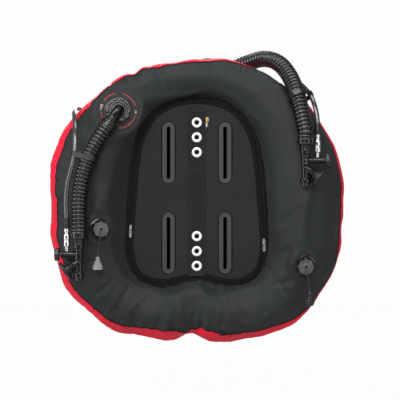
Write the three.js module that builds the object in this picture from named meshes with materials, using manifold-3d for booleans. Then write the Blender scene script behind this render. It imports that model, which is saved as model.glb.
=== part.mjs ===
// Buoyancy wing for twin-tank and technical diving: a ring-shaped air cell with two
// bladders, a flat centre panel that bolts to a backplate, two corrugated inflator
// hoses with power inflators, and two dump valves.
//
// Millimetres. The wing stands upright: +Z is the diver's head, -Y the tank side,
// +Y the diver's side, +X to the right when the tank side is seen. The origin is the
// centre of the bolt pattern, on the panel's face towards the backplate.

import * as THREE from 'three';
import Module from 'manifold-3d';
import { ParametricGeometry } from 'three/addons/geometries/ParametricGeometry.js';
import { mergeVertices } from 'three/addons/utils/BufferGeometryUtils.js';

// ---------------------------------------------------------------- driving dimensions

// Air cell outline
const WING_HALF_WIDTH = 362;
const WING_TOP = 340;
const WING_BOTTOM = 362;
const UPPER_ROUNDNESS = 2.0;
const LOWER_ROUNDNESS = 2.6;
const BOTTOM_NOTCH_DEPTH = 27;
const BOTTOM_NOTCH_SPREAD = 5.5;
const BOTTOM_NOTCH_ANGLE = 268;
const CELL_DEPTH_PER_WIDTH = 0.36;
const CELL_DEPTH_BASE = 14;
const CELL_MIDPLANE_Y = -1.6;
const EDGE_SEAM_ANGLE = 152;
const SHELL_SKIN = 2;
const BLADDER_SLACK = 3;

// Radius of the inner oval seam against the angle from the top, in degrees
const OVAL_RADII = [
  [0, 238], [23, 232], [43, 204], [63, 174], [90, 163],
  [115, 185], [132, 225], [143, 249], [154, 247], [180, 208],
];

// Centre panel, zip and spine
const PANEL_THICKNESS = 3.2;
const ZIP_BAND_WIDTH = 11;
const ZIP_BAND_THICKNESS = 3;
const SPINE_WIDTH = 40;
const SPINE_TOP = 211;
const SPINE_BOTTOM = -202;
const SPINE_THICKNESS = 2.5;
const BOLT_ROWS = [103, 139.7, 176];
const GROMMET_RADIUS = 12.5;
const GROMMET_BORE = 5.65;
const GROMMET_BARREL = 7;
const GROMMET_FLANGE = 1.4;
const SLOT_LENGTH = 130;
const SLOT_WIDTH = 8;
const SLOT_SIDE_OFFSET = 69.5;
const SLOT_CENTRES = [102, -120];
const SLOT_FRAME_LENGTH = 148;
const SLOT_FRAME_WIDTH = 31;
const SLOT_FRAME_STAND = 0.8;
const SLIDER_LENGTH = 18;
const SLIDER_WIDTH = 7;
const SLIDER_HEIGHT = 5;
const SLIDER_PLACES = { left: -84, right: -118 };

// Ports with lock rings and elbows: place in X and Z, side of the wing, hose start
const PORT_FLANGE_RADIUS = 34;
const PORT_FLANGE_THICKNESS = 5;
const LOCK_RING_RADIUS = 31;
const LOCK_RING_BORE = 18.5;
const LOCK_RING_HEIGHT = 7;
const LOCK_RING_NOTCHES = 10;
const LOCK_RING_NOTCH_DEPTH = 3;
const ELBOW_BASE_RADIUS = 17.6;
const ELBOW_RADIUS = 13;
const PORT_SINK = 3.5;
const PORTS = {
  left: { x: -188, z: 201, face: 'tank' },
  right: { x: 28, z: 290, face: 'diver' },
};

// Dump valves
const DUMP_RADIUS = 27;
const DUMP_FLANGE_THICKNESS = 6;
const DUMP_CAP_RADIUS = 22;
const DUMP_CAP_HEIGHT = 10;
const DUMP_CAP_WALL = 2;
const DUMP_CAP_NOTCHES = 8;
const POPPET_RADIUS = 12;
const POPPET_THICKNESS = 2;
const POPPET_STEM_RADIUS = 2.5;
const DUMP_BORE = 9;
const DUMP_LEDGE = 3;
const DUMP_SPRING_RADIUS = 7;
const DUMP_SPRING_WIRE = 0.9;
const DUMP_SPRING_TURNS = 3;
const KNOB_LENGTH = 30;
const KNOB_RADIUS = 12.5;
const DUMPS = {
  left: { x: -231, z: -84, face: 'tank' },
  right: { x: 260, z: -172, face: 'tank' },
};

// Hoses and cords: outer diameters and routes, each route a list of points
const AIR_HOSE_DIAMETER = 41;
const LP_HOSE_DIAMETER = 11.5;
const PULL_CORD_DIAMETER = 2.2;
const AIR_HOSE_ROUTES = {
  left: [
    [-206, -103, 171], [-217, -105, 155], [-229, -107, 137], [-241, -108, 117],
    [-252, -108.5, 97], [-261, -109, 75], [-268.5, -109, 50], [-274, -109, 24],
    [-277.5, -108.5, -3], [-279, -108, -30], [-279, -107.5, -58], [-279, -107.5, -81],
    [-279, -107.5, -103],
  ],
  right: [
    [63, 88, 303], [86, 86, 313], [110, 76, 324], [136, 57, 332], [162, 30, 336],
    [186, 2, 330], [206, -21, 315], [221, -40, 293], [232, -58, 268], [240, -75, 240],
    [247, -89, 208], [253, -99, 176], [258, -104, 150], [258, -104, 135], [258, -104, 120],
  ],
};
const LP_HOSE_ROUTES = {
  left: [
    [-308, -107.5, -72.9], [-308.5, -107.5, -50], [-309.5, -108, -16], [-306.5, -109, 19],
    [-300, -109.5, 48], [-293.5, -109, 75], [-289, -107, 104], [-288, -103, 133],
    [-289.5, -91, 160], [-293.5, -68, 183], [-298, -38, 199], [-299.5, -8, 209],
    [-294, 22, 213], [-284, 50, 208], [-273, 72, 193], [-264, 86, 168], [-259, 92, 136],
    [-257, 94, 104], [-256.5, 95, 72], [-256, 95, 46], [-256, 95, 31], [-256, 95, 16],
  ],
  right: [
    [287, -104, 150.1], [286.8, -104, 172], [284.5, -101, 194], [280, -94, 214],
    [275, -82, 231], [267, -65, 247], [256, -41, 263], [244, -14, 274],
    [233, 13, 277], [224, 40, 269], [217, 62, 252], [212.5, 78, 230],
    [210.5, 87, 202], [210, 91, 168], [210, 93, 130], [210, 94, 90],
    [210, 94, 48], [210, 94, 6], [210, 94, -40], [210, 94, -88],
  ],
};
const PULL_CORD_ROUTES = {
  left: [
    [0, 0, 0], [0.9, -3.2, -0.4], [1, -5, -4], [-1, -5.6, -11], [-3.4, -5, -20],
    [-5.2, -4, -30], [-6.6, -3, -42], [-7.6, -2.6, -54], [-8.4, -2.4, -66],
  ],
  right: [
    [0, 0, 0], [0.4, -3.2, -0.8], [1.2, -5, -4.4], [2.2, -5, -11], [3.4, -4.4, -20],
    [4.6, -3.6, -30], [5.8, -3, -42], [6.8, -2.6, -52], [7.4, -2.4, -62],
  ],
};
const STRAP_HEIGHTS = { left: 86, right: 232 };
const STRAP_WIDTH = 14;
const STRAP_THICKNESS = 2;
const STRAP_SLACK = 3;

// Power inflator: sizes along its own axis, measured down from the hose
const CUFF_RADIUS = 14;
const CUFF_LENGTH = 14;
const COLLAR_RADIUS = 13;
const COLLAR_END = 26;
const UPPER_BODY_RADIUS = 10.5;
const UPPER_BODY_END = 53;
const GROOVE_RADIUS = 7.5;
const GROOVE_END = 57;
const LOWER_BODY_RADIUS = 8.5;
const LOWER_BODY_END = 83;
const FOOT_RADIUS = 12.5;
const FOOT_END = 94;
const DEFLATE_BUTTON_RADIUS = 8.75;
const DEFLATE_BUTTON_LENGTH = 11.5;
const DEFLATE_TRAVEL = 5;
const ARM_DROP = 40;
const ARM_RADIUS = 7;
const ARM_END = 42.5;
const ARM_FLANGE_RADIUS = 9.5;
const ARM_FLANGE_THICKNESS = 3;
const INFLATE_STEM_RADIUS = 4;
const INFLATE_STEM_LENGTH = 18;
const INFLATE_BUTTON_RADIUS = 15.5;
const INFLATE_BUTTON_LENGTH = 10.5;
const INFLATE_TRAVEL = 4;
const NECK_DROP = 56;
const NECK_SLOPE = 37;
const NECK_RADIUS = 9.5;
const NECK_BORE = 6;
const NECK_LENGTH = 34;
const MOUTHPIECE_LENGTH = 50;
const MOUTHPIECE_WIDTH = 30;
const MOUTHPIECE_FLANGE = 8;
const MOUTHPIECE_SLEEVE = 10;
const MOUTHPIECE_SLEEVE_RADIUS = 12.5;
const WEB_THICKNESS = 5;
const NIPPLE_OFFSET = 29;
const NIPPLE_RADIUS = 4.75;
const NIPPLE_LENGTH = 13;
const QD_SLEEVE_RADIUS = 7.5;
const QD_SLEEVE_LENGTH = 28;
const QD_CORE_RADIUS = 5.7;
const QD_TRAVEL = 5;
const FERRULE_RADIUS = 6.2;
const FERRULE_LENGTH = 17;

// Clearances
const TOUCH_GAP = 0.3;
const SLIDE_GAP = 0.3;
const STOP_GAP = 0.5;

// Facets
const RING_STATIONS = 36;
const ROUND_SIDES = 14;

// ---------------------------------------------------------------- solids and booleans

const wasm = await Module();
wasm.setup();

const UP = new THREE.Vector3(0, 0, 1);
const vec = (point) => new THREE.Vector3(...point);
const radians = THREE.MathUtils.degToRad;

// Only positions are kept, with shared vertices merged and faces pointing out.
function closed(geometry) {
  const bare = geometry.clone();
  bare.deleteAttribute('normal');
  bare.deleteAttribute('uv');
  const merged = mergeVertices(bare, 1e-4);
  const index = merged.index.array;
  const kept = [];
  for (let i = 0; i < index.length; i += 3) {
    const [a, b, c] = [index[i], index[i + 1], index[i + 2]];
    if (a !== b && b !== c && c !== a) kept.push(a, b, c);
  }
  merged.setIndex(kept);
  if (signedVolume(merged) < 0) kept.reverse();
  merged.setIndex(kept);
  merged.computeVertexNormals();
  return merged;
}

function signedVolume(geometry) {
  const place = geometry.attributes.position;
  const index = geometry.index.array;
  const [a, b, c] = [new THREE.Vector3(), new THREE.Vector3(), new THREE.Vector3()];
  let total = 0;
  for (let i = 0; i < index.length; i += 3) {
    a.fromBufferAttribute(place, index[i]);
    b.fromBufferAttribute(place, index[i + 1]);
    c.fromBufferAttribute(place, index[i + 2]);
    total += a.dot(b.cross(c)) / 6;
  }
  return total;
}

function toManifold(geometry) {
  const solid = closed(geometry);
  return new wasm.Manifold(new wasm.Mesh({
    numProp: 3,
    vertProperties: new Float32Array(solid.attributes.position.array),
    triVerts: new Uint32Array(solid.index.array),
  }));
}

function fromManifold(manifold) {
  const mesh = manifold.getMesh();
  const geometry = new THREE.BufferGeometry();
  geometry.setAttribute('position', new THREE.BufferAttribute(mesh.vertProperties, 3));
  geometry.setIndex(new THREE.BufferAttribute(mesh.triVerts, 1));
  geometry.computeVertexNormals();
  return geometry;
}

function joined(first, ...others) {
  return fromManifold(others.reduce((sum, g) => sum.add(toManifold(g)), toManifold(first)));
}

function cut(first, ...others) {
  return fromManifold(others.reduce((left, g) => left.subtract(toManifold(g)), toManifold(first)));
}

// A turned solid about +Z, from [radius, height] points.
function turned(profile, sides = ROUND_SIDES) {
  const points = profile.map(([r, h]) => new THREE.Vector2(r, h));
  return new THREE.LatheGeometry(points, sides).rotateX(Math.PI / 2);
}

// A turned ring with a square section, about +Z.
function ringSolid(inner, outer, low, high, sides = ROUND_SIDES) {
  return turned([[inner, low], [outer, low], [outer, high], [inner, high], [inner, low]], sides);
}

function rod(radius, low, high, sides = ROUND_SIDES) {
  return turned([[0, low], [radius, low], [radius, high], [0, high]], sides);
}

// A flat piece in the X-Z plane, from backY forward to the tank side.
function plate(shape, thickness, backY) {
  const options = { depth: thickness, bevelEnabled: false, curveSegments: 5 };
  return new THREE.ExtrudeGeometry(shape, options).rotateX(Math.PI / 2).translate(0, backY, 0);
}

// A round hole as a polygon whose flats, not its corners, lie at the radius.
function circlePath(x, y, radius) {
  const corner = radius / Math.cos(Math.PI / ROUND_SIDES);
  return new THREE.Path(Array.from({ length: ROUND_SIDES }, (_, i) => {
    const angle = -2 * Math.PI * i / ROUND_SIDES;
    return new THREE.Vector2(x + corner * Math.cos(angle), y + corner * Math.sin(angle));
  }));
}

function slotOutline(path, x, y, length, width) {
  const half = width / 2;
  const straight = length / 2 - half;
  path.moveTo(x + half, y - straight);
  path.lineTo(x + half, y + straight);
  path.absarc(x, y + straight, half, 0, Math.PI, false);
  path.lineTo(x - half, y - straight);
  path.absarc(x, y - straight, half, Math.PI, 2 * Math.PI, false);
  return path;
}

// A tube of round section along a curve.
function tube(curve, radius, steps, sides) {
  const section = new THREE.Shape().absarc(0, 0, radius, 0, 2 * Math.PI, false);
  const options = { extrudePath: curve, steps, bevelEnabled: false, curveSegments: sides / 2 };
  return new THREE.ExtrudeGeometry(section, options);
}

function routeCurve(points) {
  return new THREE.CatmullRomCurve3(points.map(vec), false, 'centripetal');
}

// ---------------------------------------------------------------- the assembly and its materials

const wing = new THREE.Group();

const LOOKS = {
  black_cordura: { color: 0x33373a, roughness: 0.8, metalness: 0 },
  red_nylon: { color: 0xd8152f, roughness: 0.6, metalness: 0 },
  bladder_film: { color: 0x6f7478, roughness: 0.5, metalness: 0 },
  panel_cordura: { color: 0x2a2d30, roughness: 0.85, metalness: 0 },
  webbing: { color: 0x1d1e20, roughness: 0.8, metalness: 0 },
  grey_plastic: { color: 0x4b4b4d, roughness: 0.5, metalness: 0 },
  black_plastic: { color: 0x17181a, roughness: 0.35, metalness: 0 },
  black_rubber: { color: 0x141516, roughness: 0.5, metalness: 0 },
  nickel: { color: 0xd0d2d4, roughness: 0.2, metalness: 1 },
  chrome: { color: 0xe4e6e8, roughness: 0.08, metalness: 1 },
};

function addPiece(name, geometry, look, parent = wing) {
  const mesh = new THREE.Mesh(closed(geometry), new THREE.MeshStandardMaterial(LOOKS[look]));
  mesh.name = name;
  parent.add(mesh);
  return mesh;
}

// A group whose +Z points along axis, at a place.
function groupAlong(place, axis) {
  const group = new THREE.Group();
  group.position.copy(place);
  group.quaternion.setFromUnitVectors(UP, axis);
  wing.add(group);
  return group;
}

// ---------------------------------------------------------------- the air cell's form

// Cubic interpolation through [x, y] pairs, level at both ends.
function smoothTable(table, x) {
  const last = table.length - 1;
  let i = 0;
  while (i < last - 1 && x > table[i + 1][0]) i += 1;
  const slope = (k) => {
    if (k === 0 || k === last) return 0;
    return (table[k + 1][1] - table[k - 1][1]) / (table[k + 1][0] - table[k - 1][0]);
  };
  const span = table[i + 1][0] - table[i][0];
  const t = (x - table[i][0]) / span;
  const [t2, t3] = [t * t, t * t * t];
  return table[i][1] * (2 * t3 - 3 * t2 + 1) + slope(i) * span * (t3 - 2 * t2 + t)
    + table[i + 1][1] * (3 * t2 - 2 * t3) + slope(i + 1) * span * (t3 - t2);
}

// Angles run from +X towards +Z, in degrees.
function outlineRadius(angle) {
  const [c, s] = [Math.cos(radians(angle)), Math.sin(radians(angle))];
  const power = s > 0 ? UPPER_ROUNDNESS : LOWER_ROUNDNESS;
  const height = s > 0 ? WING_TOP : WING_BOTTOM;
  const sum = Math.abs(c / WING_HALF_WIDTH) ** power + Math.abs(s / height) ** power;
  const turn = ((angle % 360) + 360) % 360;
  const away = (turn - BOTTOM_NOTCH_ANGLE) / BOTTOM_NOTCH_SPREAD;
  return sum ** (-1 / power) - BOTTOM_NOTCH_DEPTH * Math.exp(-away * away);
}

function ovalRadius(angle) {
  const turn = (((90 - angle) % 360) + 360) % 360;
  return smoothTable(OVAL_RADII, turn > 180 ? 360 - turn : turn);
}

// A point of the cell's skin. The section is an ellipse: phi 0 is the inner oval,
// 90 the tank-side crest, 180 the outer edge and 270 the diver-side crest.
function cellPoint(angle, phi, inset = 0) {
  const inner = ovalRadius(angle);
  const outer = outlineRadius(angle);
  const width = outer - inner;
  const halfWidth = width / 2 - inset;
  const halfDepth = CELL_DEPTH_PER_WIDTH * width + CELL_DEPTH_BASE - inset;
  const r = (inner + outer) / 2 - halfWidth * Math.cos(radians(phi));
  const y = CELL_MIDPLANE_Y - halfDepth * Math.sin(radians(phi));
  return new THREE.Vector3(r * Math.cos(radians(angle)), y, r * Math.sin(radians(angle)));
}

// A closed ring lofted round the cell, from a section given as [phi, inset] pairs.
function cellRing(section) {
  const count = section.length;
  const surface = (u, v, target) => {
    const [phi, inset] = section[Math.round(u * count) % count];
    target.copy(cellPoint(360 * (Math.round(v * RING_STATIONS) % RING_STATIONS) / RING_STATIONS,
      phi, inset));
  };
  return new ParametricGeometry(surface, count, RING_STATIONS);
}

function arc(from, to, steps, inset) {
  return Array.from({ length: steps + 1 }, (_, i) => [from + (to - from) * i / steps, inset]);
}

function skinSection(from, to, steps) {
  return [...arc(from, to, steps, 0), ...arc(to, from, steps, SHELL_SKIN)];
}

// Where a valve sits on the cell: a plane a little below the skin, and its normal.
function seatOn({ x, z, face }, sink) {
  const angle = THREE.MathUtils.radToDeg(Math.atan2(z, x));
  const middle = (ovalRadius(angle) + outlineRadius(angle)) / 2;
  const halfWidth = (outlineRadius(angle) - ovalRadius(angle)) / 2;
  const side = THREE.MathUtils.radToDeg(Math.acos((middle - Math.hypot(x, z)) / halfWidth));
  const phi = face === 'tank' ? side : 360 - side;
  const here = cellPoint(angle, phi);
  const along = cellPoint(angle + 0.5, phi).sub(cellPoint(angle - 0.5, phi));
  const across = cellPoint(angle, phi + 0.5).sub(cellPoint(angle, phi - 0.5));
  const normal = along.cross(across).normalize();
  if (normal.y * (face === 'tank' ? -1 : 1) < 0) normal.negate();
  return { centre: here.addScaledVector(normal, -sink), normal };
}

const SEATS = {
  port_left: { ...seatOn(PORTS.left, PORT_SINK), radius: PORT_FLANGE_RADIUS },
  port_right: { ...seatOn(PORTS.right, PORT_SINK), radius: PORT_FLANGE_RADIUS },
  dump_left: { ...seatOn(DUMPS.left, PORT_SINK), radius: DUMP_RADIUS },
  dump_right: { ...seatOn(DUMPS.right, PORT_SINK), radius: DUMP_RADIUS },
};

// The space that a valve's flange takes out of the cell's skins.
function seatPocket({ centre, normal, radius }) {
  const pocket = rod(radius + TOUCH_GAP, -TOUCH_GAP, 60, 20);
  const turn = new THREE.Quaternion().setFromUnitVectors(UP, normal);
  return pocket.applyQuaternion(turn).translate(...centre.toArray());
}

function makeAirCell() {
  const tankSide = ['port_left', 'dump_left', 'dump_right'].map((n) => seatPocket(SEATS[n]));
  const diverSide = seatPocket(SEATS.port_right);
  const inset = SHELL_SKIN + BLADDER_SLACK;
  const frontSkin = cellRing(skinSection(0.5, EDGE_SEAM_ANGLE, 6));
  const backSkin = cellRing(skinSection(EDGE_SEAM_ANGLE + 0.5, 359.5, 8));
  addPiece('front_shell', cut(frontSkin, ...tankSide), 'black_cordura');
  addPiece('back_shell', cut(backSkin, diverSide), 'red_nylon');
  addPiece('bladder_primary', cut(cellRing(arc(2, 178, 6, inset)), ...tankSide), 'bladder_film');
  addPiece('bladder_backup', cut(cellRing(arc(182, 358, 6, inset)), diverSide), 'bladder_film');
}

// ---------------------------------------------------------------- centre panel

// The inner oval, drawn in by an inset, as points in X and Z.
function ovalPoints(inset) {
  return Array.from({ length: RING_STATIONS }, (_, i) => {
    const angle = 360 * i / RING_STATIONS;
    const r = ovalRadius(angle) - inset;
    return new THREE.Vector2(r * Math.cos(radians(angle)), r * Math.sin(radians(angle)));
  });
}

function makeZipChain() {
  const band = new THREE.Shape(ovalPoints(TOUCH_GAP));
  band.holes.push(new THREE.Path(ovalPoints(TOUCH_GAP + ZIP_BAND_WIDTH)));
  const backY = CELL_MIDPLANE_Y + ZIP_BAND_THICKNESS / 2;
  addPiece('zipper_chain', plate(band, ZIP_BAND_THICKNESS, backY), 'webbing');
}

function makePanel() {
  const outline = new THREE.Shape(ovalPoints(ZIP_BAND_WIDTH + 2 * TOUCH_GAP));
  const boltHeights = BOLT_ROWS.flatMap((row) => [row, -row]);
  for (const z of boltHeights) {
    outline.holes.push(circlePath(0, z, GROMMET_BARREL + TOUCH_GAP));
  }
  for (const x of [-SLOT_SIDE_OFFSET, SLOT_SIDE_OFFSET]) {
    for (const z of SLOT_CENTRES) {
      outline.holes.push(slotOutline(new THREE.Path(), x, z,
        SLOT_FRAME_LENGTH + 2 * TOUCH_GAP, SLOT_FRAME_WIDTH + 2 * TOUCH_GAP));
    }
  }
  addPiece('center_panel', plate(outline, PANEL_THICKNESS, 0), 'panel_cordura');
}

function makeSlotFrames() {
  const sides = { left: -1, right: 1 };
  const rows = { upper: SLOT_CENTRES[0], lower: SLOT_CENTRES[1] };
  for (const [side, sign] of Object.entries(sides)) {
    for (const [row, z] of Object.entries(rows)) {
      const x = sign * SLOT_SIDE_OFFSET;
      const shape = slotOutline(new THREE.Shape(), x, z, SLOT_FRAME_LENGTH, SLOT_FRAME_WIDTH);
      shape.holes.push(slotOutline(new THREE.Path(), x, z, SLOT_LENGTH, SLOT_WIDTH));
      const thickness = PANEL_THICKNESS + SLOT_FRAME_STAND;
      addPiece(`slot_frame_${row}_${side}`, plate(shape, thickness, 0), 'grey_plastic');
    }
  }
}

function makeSpine() {
  const half = SPINE_WIDTH / 2;
  const strap = new THREE.Shape([
    new THREE.Vector2(-half, SPINE_BOTTOM), new THREE.Vector2(half, SPINE_BOTTOM),
    new THREE.Vector2(half, SPINE_TOP), new THREE.Vector2(-half, SPINE_TOP),
  ]);
  const heights = BOLT_ROWS.flatMap((row) => [row, -row]).sort((a, b) => b - a);
  for (const z of heights) {
    strap.holes.push(circlePath(0, z, GROMMET_BARREL + TOUCH_GAP));
  }
  const backY = -PANEL_THICKNESS - TOUCH_GAP;
  addPiece('spine_strap', plate(strap, SPINE_THICKNESS, backY), 'webbing');
  const faceHeight = PANEL_THICKNESS + TOUCH_GAP + SPINE_THICKNESS + TOUCH_GAP;
  heights.forEach((z, i) => {
    const grommet = groupAlong(new THREE.Vector3(0, 0, z), new THREE.Vector3(0, -1, 0));
    const top = faceHeight + GROMMET_FLANGE;
    const profile = [
      [GROMMET_BORE, 0], [GROMMET_BARREL, 0], [GROMMET_BARREL, faceHeight],
      [GROMMET_RADIUS, faceHeight], [GROMMET_RADIUS - 1.2, top], [GROMMET_BORE + 1, top],
      [GROMMET_BORE, faceHeight], [GROMMET_BORE, 0],
    ];
    addPiece(`grommet_${i + 1}`, turned(profile, 14), 'nickel', grommet);
  });
}

// A slider straddles the front of the zip on the oval's side and follows its line.
function makeZipSliders() {
  for (const [side, z] of Object.entries(SLIDER_PLACES)) {
    const sign = side === 'left' ? -1 : 1;
    const lineX = (height) => {
      let x = WING_HALF_WIDTH / 2;
      for (let pass = 0; pass < 20; pass += 1) {
        const angle = THREE.MathUtils.radToDeg(Math.atan2(height, x));
        const r = ovalRadius(angle) - TOUCH_GAP - ZIP_BAND_WIDTH / 2;
        x = Math.sqrt(r * r - height * height);
      }
      return sign * x;
    };
    const group = new THREE.Group();
    const rise = 5;
    const lean = Math.atan2(lineX(z + rise) - lineX(z - rise), 2 * rise);
    group.position.set(lineX(z), CELL_MIDPLANE_Y - ZIP_BAND_THICKNESS / 2 - SLIDE_GAP, z);
    group.rotation.y = lean;
    wing.add(group);
    const body = new THREE.BoxGeometry(SLIDER_WIDTH, SLIDER_HEIGHT, SLIDER_LENGTH);
    body.translate(0, -SLIDER_HEIGHT / 2, 0);
    const bridge = new THREE.BoxGeometry(SLIDER_WIDTH / 2.5, 2.4, SLIDER_LENGTH * 0.6);
    bridge.translate(0, -SLIDER_HEIGHT - 1, 0);
    addPiece(`zipper_slider_${side}`, joined(body, bridge), 'black_plastic', group);
  }
}

// ---------------------------------------------------------------- ports, lock rings and elbows

// A ring with square notches in its rim, as a spanner would grip.
function notchedRing(inner, outer, low, high, notches, depth) {
  const blank = ringSolid(inner, outer, low, high, 2 * notches);
  const width = Math.PI * outer / notches * 0.62;
  const cutters = Array.from({ length: notches }, (_, i) => {
    const notch = new THREE.BoxGeometry(2 * depth, width, 4 * (high - low));
    notch.translate(outer, 0, (low + high) / 2);
    return notch.rotateZ((i + 0.5) * 2 * Math.PI / notches);
  });
  return cut(blank, ...cutters);
}

function makePorts() {
  for (const side of ['left', 'right']) {
    const { centre, normal } = SEATS[`port_${side}`];
    const group = groupAlong(centre, normal);
    const ringLow = PORT_FLANGE_THICKNESS + TOUCH_GAP;
    const ringHigh = ringLow + LOCK_RING_HEIGHT;
    addPiece(`port_flange_${side}`,
      ringSolid(ELBOW_RADIUS, PORT_FLANGE_RADIUS, 0, PORT_FLANGE_THICKNESS, 20),
      'black_plastic', group);
    addPiece(`lock_ring_${side}`,
      notchedRing(LOCK_RING_BORE, LOCK_RING_RADIUS, ringLow, ringHigh,
        LOCK_RING_NOTCHES, LOCK_RING_NOTCH_DEPTH),
      'black_plastic', group);
    // The elbow rises along the port's axis, turns and ends at the hose.
    const start = vec(AIR_HOSE_ROUTES[side][0]);
    const leave = routeCurve(AIR_HOSE_ROUTES[side]).getTangent(0);
    const end = start.clone().addScaledVector(leave, -TOUCH_GAP);
    const height = start.clone().sub(centre).dot(normal);
    const foot = centre.clone().addScaledVector(normal, ringLow + 2);
    const rise = foot.clone().addScaledVector(normal, 0.62 * (height - ringLow - 2));
    const reach = end.clone().addScaledVector(leave, -0.62 * (height - ringLow - 2));
    const bend = new THREE.CubicBezierCurve3(foot, rise, reach, end);
    const base = rod(ELBOW_BASE_RADIUS, ringLow, ringHigh, 20);
    base.applyQuaternion(group.quaternion).translate(...centre.toArray());
    addPiece(`elbow_${side}`, joined(base, tube(bend, ELBOW_RADIUS, 6, 12)), 'black_plastic');
  }
}

// ---------------------------------------------------------------- dump valves

class Helix extends THREE.Curve {
  constructor(radius, low, high, turns) {
    super();
    Object.assign(this, { radius, low, high, turns });
  }

  getPoint(t, target = new THREE.Vector3()) {
    const angle = 2 * Math.PI * this.turns * t;
    return target.set(this.radius * Math.cos(angle), this.radius * Math.sin(angle),
      this.low + (this.high - this.low) * t);
  }
}

function makeDumpValves() {
  for (const side of ['left', 'right']) {
    const { centre, normal } = SEATS[`dump_${side}`];
    const group = groupAlong(centre, normal);
    const ledgeRadius = POPPET_RADIUS + 1;
    const capLow = DUMP_FLANGE_THICKNESS + TOUCH_GAP;
    const capHigh = capLow + DUMP_CAP_HEIGHT;
    const capInner = DUMP_CAP_RADIUS - 5;
    const poppetLow = DUMP_LEDGE + TOUCH_GAP;
    const poppetHigh = poppetLow + POPPET_THICKNESS;
    const stemTop = capHigh + 1;
    addPiece(`dump_base_${side}`, turned([
      [DUMP_BORE, 0], [DUMP_RADIUS, 0], [DUMP_RADIUS, DUMP_FLANGE_THICKNESS - 2],
      [DUMP_RADIUS - 2, DUMP_FLANGE_THICKNESS], [ledgeRadius, DUMP_FLANGE_THICKNESS],
      [ledgeRadius, DUMP_LEDGE], [DUMP_BORE, DUMP_LEDGE], [DUMP_BORE, 0],
    ], 20), 'black_plastic', group);
    const rim = notchedRing(capInner, DUMP_CAP_RADIUS, capLow, capHigh, DUMP_CAP_NOTCHES, 2.5);
    const stemHole = POPPET_STEM_RADIUS + 2 * SLIDE_GAP;
    const top = ringSolid(stemHole, capInner + 1, capHigh - DUMP_CAP_WALL, capHigh, 20);
    addPiece(`dump_cap_${side}`, joined(rim, top), 'grey_plastic', group);
    const springWire = DUMP_SPRING_WIRE + 2 * TOUCH_GAP;
    const helix = new Helix(DUMP_SPRING_RADIUS, poppetHigh + springWire,
      capHigh - DUMP_CAP_WALL - springWire, DUMP_SPRING_TURNS);
    addPiece(`dump_spring_${side}`, tube(helix, DUMP_SPRING_WIRE, 8 * DUMP_SPRING_TURNS, 4),
      'nickel', group);
    addPiece(`dump_poppet_${side}`, turned([
      [0, poppetLow], [POPPET_RADIUS, poppetLow], [POPPET_RADIUS, poppetHigh],
      [POPPET_STEM_RADIUS, poppetHigh], [POPPET_STEM_RADIUS, stemTop], [0, stemTop],
    ], 14), 'black_rubber', group);
    // The pull cord starts in front of the stem and hangs, with its knob, from there.
    const exit = centre.clone().addScaledVector(normal, stemTop + TOUCH_GAP);
    const route = PULL_CORD_ROUTES[side].map((p) => vec(p).add(exit));
    const cord = new THREE.CatmullRomCurve3(route, false, 'centripetal');
    addPiece(`pull_cord_${side}`, tube(cord, PULL_CORD_DIAMETER / 2, 12, 6), 'webbing');
    const knobTop = route.at(-1).clone().addScaledVector(UP, -TOUCH_GAP);
    const knob = groupAlong(knobTop, UP);
    addPiece(`pull_knob_${side}`, turned([
      [0, 0], [4.6, 0], [5.2, -4], [4, -6], [KNOB_RADIUS * 0.62, -KNOB_LENGTH * 0.42],
      [KNOB_RADIUS * 0.93, -KNOB_LENGTH * 0.72], [KNOB_RADIUS, -KNOB_LENGTH * 0.9],
      [KNOB_RADIUS * 0.9, -KNOB_LENGTH], [0, -KNOB_LENGTH],
    ], 12), 'black_rubber', knob);
  }
}

// ---------------------------------------------------------------- power inflators

// Every inflator solid is made hanging down -Z from the hose, its arm towards +X.
function inflatorBody() {
  const barrel = turned([
    [0, -TOUCH_GAP], [CUFF_RADIUS, -TOUCH_GAP], [CUFF_RADIUS, -CUFF_LENGTH],
    [COLLAR_RADIUS, -CUFF_LENGTH - 1], [COLLAR_RADIUS, -COLLAR_END],
    [UPPER_BODY_RADIUS, -COLLAR_END - 1], [UPPER_BODY_RADIUS, -UPPER_BODY_END],
    [GROOVE_RADIUS, -UPPER_BODY_END], [GROOVE_RADIUS, -GROOVE_END],
    [LOWER_BODY_RADIUS, -GROOVE_END], [LOWER_BODY_RADIUS, -LOWER_BODY_END],
    [FOOT_RADIUS, -LOWER_BODY_END], [FOOT_RADIUS, -FOOT_END], [0, -FOOT_END],
  ], 14);
  const arm = rod(ARM_RADIUS, 0, ARM_END, 12);
  const flange = rod(ARM_FLANGE_RADIUS, ARM_END - ARM_FLANGE_THICKNESS, ARM_END, 12);
  const armParts = [arm, flange].map((g) => g.rotateY(Math.PI / 2).translate(0, 0, -ARM_DROP));
  const web = new THREE.Shape([
    new THREE.Vector2(5, -ARM_DROP - 4), new THREE.Vector2(33, -ARM_DROP - 4),
    new THREE.Vector2(33, -ARM_DROP - 10), new THREE.Vector2(21, -ARM_DROP - 22),
    new THREE.Vector2(5, -ARM_DROP - 20),
  ]);
  const webSolid = plate(web, WEB_THICKNESS, WEB_THICKNESS / 2);
  const neck = alongNeck(rod(NECK_RADIUS, 2, NECK_LENGTH, 12));
  const stemBore = rod(INFLATE_STEM_RADIUS + SLIDE_GAP,
    ARM_END - INFLATE_STEM_LENGTH, ARM_END + 5, 12);
  stemBore.rotateY(Math.PI / 2).translate(0, 0, -ARM_DROP);
  const footBore = rod(DEFLATE_BUTTON_RADIUS + SLIDE_GAP, -FOOT_END - 5,
    deflateTop() + DEFLATE_TRAVEL + STOP_GAP, 14);
  const mouthBore = alongNeck(rod(NECK_BORE, NECK_LENGTH - 20, NECK_LENGTH + 5, 12));
  return cut(joined(barrel, ...armParts, webSolid, neck), stemBore, footBore, mouthBore);
}

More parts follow.
